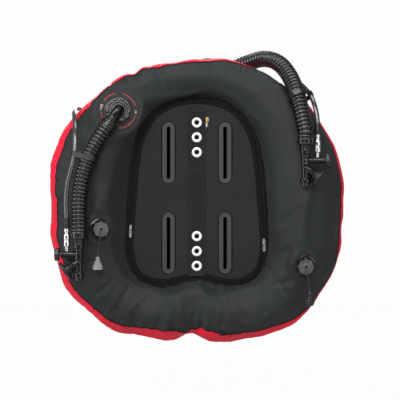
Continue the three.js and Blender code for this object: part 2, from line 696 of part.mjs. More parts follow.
function deflateTop() {
  return -FOOT_END + 2.5;
}

// Turns a solid made along +Z to lie along the neck, which slopes down and outward.
function alongNeck(geometry) {
  return geometry.rotateY(Math.PI / 2 + radians(NECK_SLOPE)).translate(0, 0, -NECK_DROP);
}

function mouthpiece() {
  const [half, width] = [MOUTHPIECE_LENGTH / 2, MOUTHPIECE_WIDTH / 2];
  const sleeveLow = NECK_LENGTH - MOUTHPIECE_SLEEVE + 2;
  const sleeve = rod(MOUTHPIECE_SLEEVE_RADIUS, sleeveLow, NECK_LENGTH + 3, 14);
  const lip = new THREE.Shape().absellipse(0, 0, half, width, 0, 2 * Math.PI, false);
  const options = { depth: MOUTHPIECE_FLANGE, bevelEnabled: false, curveSegments: 10 };
  const flange = new THREE.ExtrudeGeometry(lip, options).translate(0, 0, NECK_LENGTH + 2);
  const socket = rod(NECK_RADIUS + TOUCH_GAP, 0, NECK_LENGTH + TOUCH_GAP, 12);
  const mouth = new THREE.Shape().absellipse(0, 0, half * 0.46, width * 0.44, 0, 2 * Math.PI, false);
  const through = new THREE.ExtrudeGeometry(mouth, { ...options, depth: 40 });
  through.translate(0, 0, NECK_LENGTH - 6);
  return alongNeck(cut(joined(sleeve, flange), socket, through));
}

function inflateButton() {
  const capStart = ARM_END + INFLATE_TRAVEL + STOP_GAP;
  const stemStart = ARM_END - INFLATE_STEM_LENGTH + INFLATE_TRAVEL + STOP_GAP;
  const profile = [
    [0, stemStart], [INFLATE_STEM_RADIUS, stemStart], [INFLATE_STEM_RADIUS, capStart],
    [INFLATE_BUTTON_RADIUS - 2, capStart], [INFLATE_BUTTON_RADIUS, capStart + 3],
    [INFLATE_BUTTON_RADIUS, capStart + 6], [INFLATE_BUTTON_RADIUS - 3, capStart + 9],
    [0, capStart + INFLATE_BUTTON_LENGTH],
  ];
  return turned(profile, 14).rotateY(Math.PI / 2).translate(0, 0, -ARM_DROP);
}

function deflateButton() {
  const top = deflateTop();
  return rod(DEFLATE_BUTTON_RADIUS, top - DEFLATE_BUTTON_LENGTH, top, 14);
}

const NIPPLE_LOW = -ARM_DROP + ARM_RADIUS + TOUCH_GAP;
const NIPPLE_HIGH = NIPPLE_LOW + NIPPLE_LENGTH;
const CORE_LOW = NIPPLE_HIGH + TOUCH_GAP;
const SLEEVE_LOW = NIPPLE_HIGH - 1;
const SLEEVE_HIGH = SLEEVE_LOW + QD_SLEEVE_LENGTH;
const FERRULE_LOW = SLEEVE_HIGH + QD_TRAVEL + STOP_GAP;

function lpNipple() {
  return turned([
    [0, NIPPLE_LOW], [NIPPLE_RADIUS, NIPPLE_LOW], [NIPPLE_RADIUS, NIPPLE_LOW + 5],
    [NIPPLE_RADIUS - 1.2, NIPPLE_LOW + 6], [NIPPLE_RADIUS - 1.2, NIPPLE_LOW + 9],
    [NIPPLE_RADIUS - 0.2, NIPPLE_LOW + 10], [NIPPLE_RADIUS - 0.2, NIPPLE_HIGH], [0, NIPPLE_HIGH],
  ], 12).translate(NIPPLE_OFFSET, 0, 0);
}

function qdSleeve() {
  const bore = QD_CORE_RADIUS + SLIDE_GAP;
  return turned([
    [bore, SLEEVE_LOW], [QD_SLEEVE_RADIUS - 0.8, SLEEVE_LOW],
    [QD_SLEEVE_RADIUS, SLEEVE_LOW + 2], [QD_SLEEVE_RADIUS, SLEEVE_HIGH - 9],
    [QD_SLEEVE_RADIUS - 1, SLEEVE_HIGH - 7], [QD_SLEEVE_RADIUS - 1, SLEEVE_HIGH],
    [bore, SLEEVE_HIGH], [bore, SLEEVE_LOW],
  ], 14).translate(NIPPLE_OFFSET, 0, 0);
}

function hoseFerrule() {
  return turned([
    [0, CORE_LOW], [QD_CORE_RADIUS, CORE_LOW], [QD_CORE_RADIUS, FERRULE_LOW],
    [FERRULE_RADIUS, FERRULE_LOW], [FERRULE_RADIUS, FERRULE_LOW + FERRULE_LENGTH],
    [0, FERRULE_LOW + FERRULE_LENGTH],
  ], 12).translate(NIPPLE_OFFSET, 0, 0);
}

function makeInflators() {
  for (const side of ['left', 'right']) {
    const group = new THREE.Group();
    group.position.copy(vec(AIR_HOSE_ROUTES[side].at(-1)));
    group.rotation.z = side === 'left' ? Math.PI : 0;
    wing.add(group);
    addPiece(`inflator_body_${side}`, inflatorBody(), 'black_plastic', group);
    addPiece(`mouthpiece_${side}`, mouthpiece(), 'black_rubber', group);
    addPiece(`inflate_button_${side}`, inflateButton(), 'black_plastic', group);
    addPiece(`deflate_button_${side}`, deflateButton(), 'black_plastic', group);
    addPiece(`lp_nipple_${side}`, lpNipple(), 'chrome', group);
    addPiece(`qd_sleeve_${side}`, qdSleeve(), 'chrome', group);
    addPiece(`hose_ferrule_${side}`, hoseFerrule(), 'chrome', group);
  }
}

// ---------------------------------------------------------------- hoses, straps and fittings

// The band's outline: the hull of two circles, one round each hose.
function twinLoop(big, small, distance) {
  const lean = Math.acos((big - small) / distance);
  const shape = new THREE.Shape();
  shape.absarc(0, 0, big, lean, 2 * Math.PI - lean, false);
  shape.absarc(distance, 0, small, -lean, lean, false);
  return shape;
}

// A band round the air hose and the low-pressure hose, square to the line between both.
function hoseStrap(airCurve, lpCurve, height) {
  const pick = (curve, test) => {
    const count = 400;
    let best = 0;
    for (let i = 1; i <= count; i += 1) {
      if (test(curve.getPointAt(i / count)) < test(curve.getPointAt(best))) best = i / count;
    }
    return { at: curve.getPointAt(best), along: curve.getTangentAt(best) };
  };
  const inFront = (p) => (p.y < 0 ? 0 : 1000);
  const air = pick(airCurve, (p) => Math.abs(p.z - height) + inFront(p));
  const lp = pick(lpCurve, (p) => p.distanceTo(air.at));
  const across = lp.at.clone().sub(air.at);
  const mean = air.along.clone().sub(lp.along).normalize();
  const axis = mean.addScaledVector(across, -mean.dot(across) / across.lengthSq()).normalize();
  const distance = across.length();
  const big = AIR_HOSE_DIAMETER / 2 + STRAP_SLACK;
  const small = LP_HOSE_DIAMETER / 2 + STRAP_SLACK;
  const shape = twinLoop(big + STRAP_THICKNESS, small + STRAP_THICKNESS, distance);
  shape.holes.push(new THREE.Path(twinLoop(big, small, distance).getPoints(6)));
  const options = { depth: STRAP_WIDTH, bevelEnabled: false, curveSegments: 6 };
  const band = new THREE.ExtrudeGeometry(shape, options).translate(0, 0, -STRAP_WIDTH / 2);
  const xAxis = across.normalize();
  const yAxis = axis.clone().cross(xAxis);
  band.applyMatrix4(new THREE.Matrix4().makeBasis(xAxis, yAxis, axis));
  return band.translate(...air.at.toArray());
}

function endFitting() {
  return turned([
    [0, 0], [6.6, 0], [6.6, -17], [9, -18], [9, -26], [4.8, -27], [4.8, -37], [0, -37],
  ], 12);
}

function makeHoses() {
  for (const side of ['left', 'right']) {
    const airCurve = routeCurve(AIR_HOSE_ROUTES[side]);
    const lpCurve = routeCurve(LP_HOSE_ROUTES[side]);
    addPiece(`air_hose_${side}`, tube(airCurve, AIR_HOSE_DIAMETER / 2, 12, 10), 'black_rubber');
    addPiece(`lp_hose_${side}`, tube(lpCurve, LP_HOSE_DIAMETER / 2, 24, 8), 'black_rubber');
    const band = hoseStrap(airCurve, lpCurve, STRAP_HEIGHTS[side]);
    addPiece(`hose_strap_${side}`, band, 'webbing');
    const end = lpCurve.points.at(-1).clone().addScaledVector(UP, -TOUCH_GAP);
    addPiece(`lp_fitting_${side}`, endFitting(), 'chrome', groupAlong(end, UP));
  }
}

makeAirCell();
makeZipChain();
makePanel();
makeSlotFrames();
makeSpine();
makeZipSliders();
makePorts();
makeDumpValves();
makeInflators();
makeHoses();

export default wing;
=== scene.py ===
import math

import bpy
import numpy as np
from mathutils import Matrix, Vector, geometry


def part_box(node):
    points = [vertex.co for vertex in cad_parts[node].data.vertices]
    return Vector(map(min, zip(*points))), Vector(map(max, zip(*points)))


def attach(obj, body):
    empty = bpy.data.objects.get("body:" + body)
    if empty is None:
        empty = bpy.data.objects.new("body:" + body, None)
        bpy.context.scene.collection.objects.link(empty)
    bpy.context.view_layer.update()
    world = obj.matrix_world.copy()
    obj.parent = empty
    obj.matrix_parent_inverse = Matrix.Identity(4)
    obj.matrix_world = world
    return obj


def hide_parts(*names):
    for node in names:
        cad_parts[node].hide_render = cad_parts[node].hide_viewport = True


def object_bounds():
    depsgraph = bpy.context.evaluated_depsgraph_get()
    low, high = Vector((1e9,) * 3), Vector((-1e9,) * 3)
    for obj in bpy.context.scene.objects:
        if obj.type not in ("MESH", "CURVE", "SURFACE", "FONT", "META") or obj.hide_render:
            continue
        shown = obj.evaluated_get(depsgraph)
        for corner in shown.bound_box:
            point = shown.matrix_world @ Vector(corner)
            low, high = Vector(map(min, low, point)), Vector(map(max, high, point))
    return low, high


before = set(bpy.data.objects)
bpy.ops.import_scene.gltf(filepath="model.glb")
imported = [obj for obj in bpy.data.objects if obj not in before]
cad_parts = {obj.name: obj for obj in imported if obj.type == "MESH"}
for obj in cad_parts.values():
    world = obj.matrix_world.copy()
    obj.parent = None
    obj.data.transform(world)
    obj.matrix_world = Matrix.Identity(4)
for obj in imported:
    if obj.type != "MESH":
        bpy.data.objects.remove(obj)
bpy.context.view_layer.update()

MM = 0.001
scene = bpy.context.scene
SIDES = ("left", "right")
FRONT, ACROSS, UP = (0, -1, 0), (1, 0, 0), (0, 0, 1)
WHITE = 0.985

# ------------------------------------------------------------------ camera, light and stage

cam_data = bpy.data.cameras.new("camera")
cam_data.sensor_width = 36
cam_data.lens = 109.8
cam_data.clip_start, cam_data.clip_end = 0.05, 60
camera = bpy.data.objects.new("camera", cam_data)
camera.location = (0.0079, -3.0, -0.0141)
camera.rotation_euler = (math.radians(90), 0, 0)
scene.collection.objects.link(camera)
scene.camera = camera
scene.view_settings.view_transform = "Standard"


def area_light(name, place, aim, size, energy):
    data = bpy.data.lights.new(name, "AREA")
    data.shape = "RECTANGLE"
    data.size, data.size_y = size
    data.energy = energy
    lamp = bpy.data.objects.new(name, data)
    lamp.location = place
    lamp.rotation_euler = (Vector(aim) - Vector(place)).to_track_quat("-Z", "Y").to_euler()
    scene.collection.objects.link(lamp)
    lamp.visible_camera = False


area_light("key", (-0.5, -3.0, 1.5), (0, 0, 0.02), (3.0, 1.5), 84)
area_light("fill", (2.2, -2.3, 0.1), (0, 0, 0), (1.4, 2.4), 20)
area_light("top", (0.1, -0.5, 2.3), (0, 0, 0), (2.2, 1.0), 22)
area_light("left_edge", (-2.3, -0.9, 0.4), (-0.1, 0, 0), (0.8, 2.0), 20)
area_light("back", (-0.4, 2.6, 1.2), (0, 0, 0), (2.0, 1.6), 40)

world = bpy.data.worlds.new("studio")
world.use_nodes = True
scene.world = world
wt = world.node_tree
wt.nodes.clear()
w_out = wt.nodes.new("ShaderNodeOutputWorld")
w_mix = wt.nodes.new("ShaderNodeMixShader")
w_ray = wt.nodes.new("ShaderNodeLightPath")
w_dim = wt.nodes.new("ShaderNodeBackground")
w_white = wt.nodes.new("ShaderNodeBackground")
w_dim.inputs["Color"].default_value = (0.93, 0.96, 1.0, 1)
w_dim.inputs["Strength"].default_value = 0.22
w_white.inputs["Color"].default_value = (WHITE, WHITE, WHITE, 1)
w_white.inputs["Strength"].default_value = 1.0
wt.links.new(w_ray.outputs["Is Camera Ray"], w_mix.inputs[0])
wt.links.new(w_dim.outputs[0], w_mix.inputs[1])
wt.links.new(w_white.outputs[0], w_mix.inputs[2])
wt.links.new(w_mix.outputs[0], w_out.inputs["Surface"])

# ------------------------------------------------------------------ small tools for meshes


def arr(points):
    return np.asarray(points, float)


def unit(v):
    v = arr(v)
    return v / np.linalg.norm(v)


def run_length(points):
    """Distance along a line at each of its points."""
    return np.concatenate([[0], np.cumsum(np.linalg.norm(np.diff(points, axis=0), axis=1))])


def looped(points):
    """A closed line with its first point again at the end."""
    return np.vstack([points, points[:1]])


def fronts(count):
    """The outward direction of a flat piece, once for each point."""
    return np.tile(arr(FRONT), (count, 1))


def upright(loop, y=0.0):
    """Points in x and z, stood up in the plane at this y."""
    return np.column_stack([loop[:, 0], np.full(len(loop), float(y)), loop[:, 1]])


def oval_section(side, up, n=8):
    return [(side * math.cos(t), up * math.sin(t)) for t in np.arange(n) * math.pi / (n / 2)]


def side_faces(base, rings):
    """Quads round a stack of four-cornered rings."""
    return [[base + i * 4 + j, base + i * 4 + (j + 1) % 4, base + (i + 1) * 4 + (j + 1) % 4, base + (i + 1) * 4 + j]
            for i in range(rings - 1) for j in range(4)]


def face_corners(uv, flip):
    """The four corner values of every quad, in the order its face is wound."""
    corners = [uv[:-1, :-1], uv[1:, :-1], uv[1:, 1:], uv[:-1, 1:]]
    if flip:
        corners = [corners[0], corners[3], corners[2], corners[1]]
    return np.stack(corners, 2)


def make_object(name, verts, faces, uv=None, smooth=True):
    """Vertices in millimetres; uv is one pair for each face corner, in metres."""
    mesh = bpy.data.meshes.new(name)
    mesh.from_pydata((arr(verts) * MM).tolist(), [], faces if isinstance(faces, list) else faces.tolist())
    if uv is not None:
        layer = mesh.uv_layers.new(name="UVMap")
        layer.data.foreach_set("uv", np.asarray(uv, np.float32).ravel())
    mesh.polygons.foreach_set("use_smooth", [smooth] * len(mesh.polygons))
    mesh.update()
    obj = bpy.data.objects.new(name, mesh)
    scene.collection.objects.link(obj)
    return obj


def grid(name, points, close_u=False, close_v=False, uv=None, flip=False, cap=False):
    """A sheet of quads from points[u][v]. uv is an array one larger than each closed side."""
    points = arr(points)
    nu, nv = points.shape[:2]
    iu, iv = (nu if close_u else nu - 1), (nv if close_v else nv - 1)
    i, j = np.meshgrid(np.arange(iu), np.arange(iv), indexing="ij")
    a, b = i * nv + j, ((i + 1) % nu) * nv + j
    c, d = ((i + 1) % nu) * nv + (j + 1) % nv, i * nv + (j + 1) % nv
    order = [a, d, c, b] if flip else [a, b, c, d]
    faces = np.stack(order, -1).reshape(-1, 4)
    loops = None
    if uv is not None:
        loops = face_corners(arr(uv), flip).reshape(-1, 2)
    faces = faces.tolist()
    if cap:
        first, last = list(range(nv)), [(nu - 1) * nv + k for k in range(nv)]
        caps = [first if flip else first[::-1], last[::-1] if flip else last]
        faces += caps
        if loops is not None:
            flat = points.reshape(-1, 3) * MM
            extra = [[flat[k][0], flat[k][2]] for cap_face in caps for k in cap_face]
            loops = np.concatenate([loops, arr(extra)])
    return make_object(name, points.reshape(-1, 3), faces, loops)


def placed(origin, axis, ref=UP):
    """Matrix whose z is axis and whose x lies as near ref as it can, at origin, in millimetres."""
    z = unit(axis)
    x = arr(ref) - z * np.dot(arr(ref), z)
    if np.linalg.norm(x) < 1e-6:
        x = np.cross(z, (0, 1, 0))
    x = unit(x)
    m = np.eye(4)
    m[:3, 0], m[:3, 1], m[:3, 2], m[:3, 3] = x, np.cross(z, x), z, origin
    return m


def apply(m, points):
    points = arr(points)
    return points @ m[:3, :3].T + m[:3, 3]


def rounded(profile, radius, closed=False, steps=3):
    """The same outline with each corner cut back to a small curve."""
    p = [arr(q) for q in profile]
    out = []
    n = len(p)
    for k in range(n):
        if not closed and k in (0, n - 1):
            out.append(p[k])
            continue
        a, b, c = p[k - 1], p[k], p[(k + 1) % n]
        la, lc = np.linalg.norm(a - b), np.linalg.norm(c - b)
        if la < 1e-6 or lc < 1e-6:
            out.append(b)
            continue
        r = min(radius, la * 0.42, lc * 0.42)
        s, e = b + (a - b) / la * r, b + (c - b) / lc * r
        for t in np.linspace(0, 1, steps + 1):
            out.append((1 - t) ** 2 * s + 2 * t * (1 - t) * b + t * t * e)
    return arr(out)


def lathe(name, profile, m, seg=48, bevel=0.6, shape=None, closed=False):
    """profile is [(r, z)] round local z. shape(r, z, angle) may change the radius."""
    prof = rounded(profile, bevel, closed) if bevel else arr(profile)
    prof = np.array([[max(r, 0.02), z] for r, z in prof])
    turn = np.arange(seg) * 2 * math.pi / seg
    pts = np.zeros((len(prof), seg, 3))
    for k, (r, z) in enumerate(prof):
        rr = np.full(seg, r) if shape is None else np.array([shape(r, z, t) for t in turn])
        pts[k] = np.stack([rr * np.cos(turn), rr * np.sin(turn), np.full(seg, z)], -1)
    steps = run_length(prof)
    if closed:
        steps = np.append(steps, steps[-1] + np.linalg.norm(prof[0] - prof[-1]))
    ring = np.linspace(0, 2 * math.pi * max(prof[:, 0].max(), 1) * MM, seg + 1)
    uv = np.zeros((len(steps), seg + 1, 2))
    uv[..., 0], uv[..., 1] = ring[None, :], steps[:, None] * MM
    area = sum(prof[k][0] * prof[(k + 1) % len(prof)][1] - prof[(k + 1) % len(prof)][0] * prof[k][1]
        for k in range(len(prof)))
    return grid(name, apply(m, pts.reshape(-1, 3)).reshape(pts.shape), closed, True, uv, flip=area > 0)


def loft(name, rings, cap=True, flip=False):
    rings = arr(rings)
    along = run_length(rings.mean(1))
    around = np.linalg.norm(np.roll(rings[len(rings) // 2], -1, 0) - rings[len(rings) // 2], axis=1)
    around = np.concatenate([[0], np.cumsum(around)])
    uv = np.zeros((len(rings), rings.shape[1] + 1, 2))
    uv[..., 0], uv[..., 1] = around[None, :] * MM, along[:, None] * MM
    return grid(name, rings, False, True, uv, flip, cap)


def transport(points, start=None):
    """Tangents and a side vector at each point that doesn't spin round the line."""
    p = arr(points)
    t = np.gradient(p, axis=0)
    t /= np.linalg.norm(t, axis=1)[:, None]
    side = arr(start) if start is not None else np.cross(t[0], (0, 1, 0))
    if np.linalg.norm(side - t[0] * np.dot(side, t[0])) < 1e-3:
        side = np.cross(t[0], ACROSS)
    sides = []
    for k in range(len(p)):
        side = side - t[k] * np.dot(side, t[k])
        side = side / np.linalg.norm(side)
        sides.append(side)
    return t, arr(sides), np.cross(t, arr(sides))


def sweep(name, points, radius, seg=24, start=None, cap=False):
    """A tube along points; radius is one number or one for each point."""
    p = arr(points)
    _, a, b = transport(p, start)
    r = np.broadcast_to(arr(radius), (len(p),))
    turn = np.arange(seg) * 2 * math.pi / seg
    pts = p[:, None] + r[:, None, None] * (np.cos(turn)[None, :, None] * a[:, None] + np.sin(turn)[None, :, None]
        * b[:, None])
    s = run_length(p)
    uv = np.zeros((len(p), seg + 1, 2))
    uv[..., 0], uv[..., 1] = np.linspace(0, 2 * math.pi * r.max() * MM, seg + 1)[None], s[:, None] * MM
    return grid(name, pts, False, True, uv, False, cap)


def ribbon(name, points, ups, section, closed=True):
    """Sweeps a closed section (side, up) along a path, up being given at each point."""
    p, up = arr(points), arr(ups)
    t = np.roll(p, -1, 0) - np.roll(p, 1, 0) if closed else np.gradient(p, axis=0)
    t /= np.linalg.norm(t, axis=1)[:, None]
    side = np.cross(t, up)
    side /= np.linalg.norm(side, axis=1)[:, None]
    up = np.cross(side, t)
    sec = arr(section)
    pts = p[:, None] + sec[None, :, 0, None] * side[:, None] + sec[None, :, 1, None] * up[:, None]
    s = run_length(looped(p) if closed else p)
    c = np.concatenate([[0], np.cumsum(np.linalg.norm(np.roll(sec, -1, 0) - sec, axis=1))])
    uv = np.zeros((len(s), len(c), 2))
    uv[..., 0], uv[..., 1] = c[None, :] * MM, s[:, None] * MM
    return grid(name, pts, closed, True, uv, False, not closed)


def spoke(m, degrees):
    """The direction at this angle round the axis of a placing matrix."""
    t = math.radians(degrees)
    return m[:3, 0] * math.cos(t) + m[:3, 1] * math.sin(t)


def prism(name, outline, m, low, high, bevel=0.6):
    """An outline in local x and y, raised from z low to high, with its edges eased."""
    o = arr(outline)
    nxt, prv = np.roll(o, -1, 0), np.roll(o, 1, 0)
    t = nxt - prv
    nrm = np.stack([t[:, 1], -t[:, 0]], -1)
    nrm /= np.linalg.norm(nrm, axis=1)[:, None]
    area = np.sum(o[:, 0] * nxt[:, 1] - nxt[:, 0] * o[:, 1])
    if area < 0:
        o, nrm = o[::-1], -nrm[::-1]
    rings = []
    for z, inset in ((low, bevel), (low + bevel * 0.3, bevel * 0.3), (low + bevel, 0), (high - bevel, 0),
        (high - bevel * 0.3, bevel * 0.3), (high, bevel)):
        q = o - nrm * inset
        rings.append(np.column_stack([q, np.full(len(q), z)]))
    rings = arr(rings)
    return loft(name, apply(m, rings.reshape(-1, 3)).reshape(rings.shape), True, flip=True)


def round_rect(w, h, r, n=5):
    pts = []
    for cx, cy, a0 in ((w / 2 - r, h / 2 - r, 0), (-w / 2 + r, h / 2 - r, 90), (-w / 2 + r, -h / 2 + r, 180),
        (w / 2 - r, -h / 2 + r, 270)):
        for a in np.linspace(a0, a0 + 90, n):
            pts.append([cx + r * math.cos(math.radians(a)), cy + r * math.sin(math.radians(a))])
    return arr(pts)


def join(name, objs):
    """One object from several that share a body and a material."""
    bpy.context.view_layer.update()
    verts, faces, uvs, base = [], [], [], 0
    has_uv = all(o.data.uv_layers for o in objs)
    for o in objs:
        me = o.data
        co = np.zeros(len(me.vertices) * 3)
        me.vertices.foreach_get("co", co)
        verts.append(co.reshape(-1, 3))
        faces += [[v + base for v in p.vertices] for p in me.polygons]
        if has_uv:
            uv = np.zeros(len(me.loops) * 2, np.float32)
            me.uv_layers[0].data.foreach_get("uv", uv)
            uvs.append(uv)
        base += len(me.vertices)
        bpy.data.objects.remove(o)
    return make_object(name, np.concatenate(verts) / MM, faces, np.concatenate(uvs).reshape(-1,
        2) if has_uv else None)


def piece(obj, material, body="root", replaces=(), sharp=38):
    obj.data.materials.clear()
    obj.data.materials.append(material.data)
    if sharp and obj.type == "MESH":
        obj.data.set_sharp_from_angle(angle=math.radians(sharp))
    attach(obj, body)
    if replaces:
        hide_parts(*([replaces] if isinstance(replaces, str) else replaces))
    return obj


def stitch_run(points, normals, pitch=4.0, length=2.6, thick=0.45):
    """Rings of small thread stitches along a line; returns verts and faces to be joined."""
    p, nrm = arr(points), arr(normals)
    s = run_length(p)
    count = max(int(s[-1] / pitch), 1)
    verts, faces = [], []
    for k in range(count):
        c = (k + 0.5) * s[-1] / count
        mid = np.array([np.interp(c, s, p[:, i]) for i in range(3)])
        ahead = np.array([np.interp(min(c + 1, s[-1]), s, p[:, i]) for i in range(3)])
        behind = np.array([np.interp(max(c - 1, 0), s, p[:, i]) for i in range(3)])
        t = unit(ahead - behind)
        n = np.array([np.interp(c, s, nrm[:, i]) for i in range(3)])
        n = unit(n - t * np.dot(n, t))
        b = np.cross(t, n)
        base = len(verts)
        for f, g in ((-0.5, 0.25), (-0.3, 1), (0.3, 1), (0.5, 0.25)):
            for a in (0, 90, 180, 270):
                ca, sa = math.cos(math.radians(a)), math.sin(math.radians(a))
                verts.append(mid + t * length * f + (b * ca + n * sa * 0.7) * thick * g)
        faces += side_faces(base, 4)
        faces.append([base + 3, base + 2, base + 1, base])
        faces.append([base + 12, base + 13, base + 14, base + 15])
    return verts, faces


def stitches(name, runs, material, body="root", slot="webbing", **options):
    verts, faces = [], []
    for points, normals in runs:
        v, f = stitch_run(points, normals, **options)
        faces += [[i + len(verts) for i in face] for face in f]
        verts += v
    obj = make_object(name, verts, faces)
    return piece(obj, material, body, sharp=0)


def curve_points(points, spacing=1.0):
    """The centripetal Catmull-Rom line through the points, at even spacing, in millimetres."""
    p = arr(points)
    full = np.vstack([2 * p[0] - p[1], p, 2 * p[-1] - p[-2]])
    out = []
    for k in range(1, len(full) - 2):
        x0, x1, x2, x3 = full[k - 1], full[k], full[k + 1], full[k + 2]
        d0, d1, d2 = (np.linalg.norm(b - a) ** 0.5 for a, b in ((x0, x1), (x1, x2), (x2, x3)))
        t1 = ((x1 - x0) / d0 - (x2 - x0) / (d0 + d1) + (x2 - x1) / d1) * d1
        t2 = ((x2 - x1) / d1 - (x3 - x1) / (d1 + d2) + (x3 - x2) / d2) * d1
        for t in np.linspace(0, 1, 24, endpoint=False):
            out.append(x1 + t1 * t + (-3 * x1 + 3 * x2 - 2 * t1 - t2) * t * t + (2 * x1 - 2 * x2 + t1 + t2)
                * t ** 3)
    out.append(p[-1])
    out = arr(out)
    s = run_length(out)
    count = max(int(round(s[-1] / spacing)), 2)
    grid_s = np.linspace(0, s[-1], count + 1)
    return np.stack([np.interp(grid_s, s, out[:, i]) for i in range(3)], -1), s[-1]

# ------------------------------------------------------------------ materials


class Material:
    """A Principled material whose nodes are added one at a time."""

    def __init__(self, name, rough=0.5, metal=0.0, specular=0.5, coat=0.0, coat_rough=0.2, sheen=0.0,
        sheen_rough=0.5, colour=(0.5, 0.5, 0.5)):
        self.data = bpy.data.materials.new(name)
        self.data.use_nodes = True
        self.tree = self.data.node_tree
        self.tree.nodes.clear()
        out = self.add("ShaderNodeOutputMaterial")
        self.shader = self.add("ShaderNodeBsdfPrincipled")
        self.tree.links.new(self.shader.outputs[0], out.inputs["Surface"])
        s = self.shader.inputs
        s["Base Color"].default_value = (*colour, 1)
        s["Roughness"].default_value = rough
        s["Metallic"].default_value = metal
        s["Specular IOR Level"].default_value = specular
        s["Coat Weight"].default_value = coat
        s["Coat Roughness"].default_value = coat_rough
        s["Sheen Weight"].default_value = sheen
        s["Sheen Roughness"].default_value = sheen_rough
        self.place = self.add("ShaderNodeTexCoord")
        self.height = None

    def add(self, kind, **settings):
        node = self.tree.nodes.new(kind)
        for key, value in settings.items():
            setattr(node, key, value)
        return node

    def put(self, socket, value):
        if isinstance(value, bpy.types.NodeSocket):
            self.tree.links.new(value, socket)
        else:
            socket.default_value = value

    def math(self, kind, a, b=0.0, c=None, clamp=False):
        node = self.add("ShaderNodeMath", operation=kind, use_clamp=clamp)
        self.put(node.inputs[0], a)
        self.put(node.inputs[1], b)
        if c is not None:
            self.put(node.inputs[2], c)
        return node.outputs[0]

    def noise(self, scale, detail=3.0, rough=0.55, distortion=0.0, stretch=None, source="Object"):
        node = self.add("ShaderNodeTexNoise")
        node.inputs["Scale"].default_value = scale
        node.inputs["Detail"].default_value = detail
        node.inputs["Roughness"].default_value = rough
        node.inputs["Distortion"].default_value = distortion
        place = self.place.outputs[source]
        if stretch:
            mapping = self.add("ShaderNodeMapping")
            mapping.inputs["Scale"].default_value = stretch
            self.tree.links.new(place, mapping.inputs["Vector"])
            place = mapping.outputs[0]
        self.tree.links.new(place, node.inputs["Vector"])
        return node.outputs["Fac"]

    def ramp(self, value, stops):
        node = self.add("ShaderNodeValToRGB")
        e = node.color_ramp.elements
        while len(e) < len(stops):
            e.new(0.5)
        for element, (at, colour) in zip(e, stops):
            element.position = at
            element.color = (*colour, 1) if len(colour) == 3 else colour
        self.put(node.inputs[0], value)
        return node.outputs[0]

    def between(self, value, low, high, a=0.0, b=1.0):
        node = self.add("ShaderNodeMapRange")
        node.inputs["From Min"].default_value, node.inputs["From Max"].default_value = low, high
        node.inputs["To Min"].default_value, node.inputs["To Max"].default_value = a, b
        self.put(node.inputs["Value"], value)
        return node.outputs[0]

    def mix(self, value, a, b):
        node = self.add("ShaderNodeMix", data_type="RGBA")
        self.put(node.inputs[0], value)
        self.put(node.inputs[6], a if isinstance(a, bpy.types.NodeSocket) else (*a, 1))
        self.put(node.inputs[7], b if isinstance(b, bpy.types.NodeSocket) else (*b, 1))
        return node.outputs[2]

    def uv(self):
        sep = self.add("ShaderNodeSeparateXYZ")
        self.tree.links.new(self.place.outputs["UV"], sep.inputs[0])
        return sep.outputs[0], sep.outputs[1]

    def weave(self, across, along, twill=0.0):
        """Height of a woven cloth with threads at these pitches, in metres of UV."""
        u, v = self.uv()
        a = self.math("MULTIPLY", u, math.pi / across)
        b = self.math("MULTIPLY", v, math.pi / along)
        if twill:
            a = self.math("ADD", a, self.math("MULTIPLY", b, twill))
        weft = self.math("ABSOLUTE", self.math("SINE", a))
        warp = self.math("ABSOLUTE", self.math("SINE", b))
        pick = self.math("MULTIPLY", self.math("SINE", a), self.math("SINE", b))
        top = self.math("ADD", self.math("MULTIPLY", pick, 0.5), 0.5)
        return self.math("ADD", self.math("MULTIPLY", weft, top), self.math("MULTIPLY", warp,
            self.math("SUBTRACT", 1.0, top)))

    def bump(self, value, strength, distance):
        node = self.add("ShaderNodeBump")
        node.inputs["Strength"].default_value = strength
        node.inputs["Distance"].default_value = distance
        self.put(node.inputs["Height"], value)
        if self.height is not None:
            self.tree.links.new(self.height, node.inputs["Normal"])
        self.height = node.outputs[0]
        self.tree.links.new(self.height, self.shader.inputs["Normal"])
        return self

    def colour(self, value):
        self.tree.links.new(value, self.shader.inputs["Base Color"])
        return self

    def rough(self, value):
        self.tree.links.new(value, self.shader.inputs["Roughness"])
        return self


def cloth_material(name, dark, mid, light, thread=0.0011, rough=(0.62, 0.8), sheen=0.12, weave_depth=0.00012,
    crumple=0.0011, twill=0.0, specular=0.35):
    m = Material(name, specular=specular, sheen=sheen, sheen_rough=0.45)
    w = m.weave(thread, thread, twill)
    broad = m.noise(7, 4, 0.55, 0.3)
    fine = m.noise(260, 2, 0.6)
    tone = m.math("ADD", m.math("MULTIPLY", broad, 0.62), m.math("MULTIPLY", m.math("MULTIPLY", w, fine), 0.5))
    m.colour(m.ramp(tone, [(0.22, dark), (0.52, mid), (0.82, light)]))
    m.rough(m.between(fine, 0.3, 0.7, rough[0], rough[1]))
    m.bump(m.noise(34, 5, 0.62, 0.6), 0.5, crumple)
    m.bump(m.noise(110, 3, 0.55, 0.4), 0.3, crumple * 0.3)
    m.bump(w, 0.45, weave_depth)
    return m


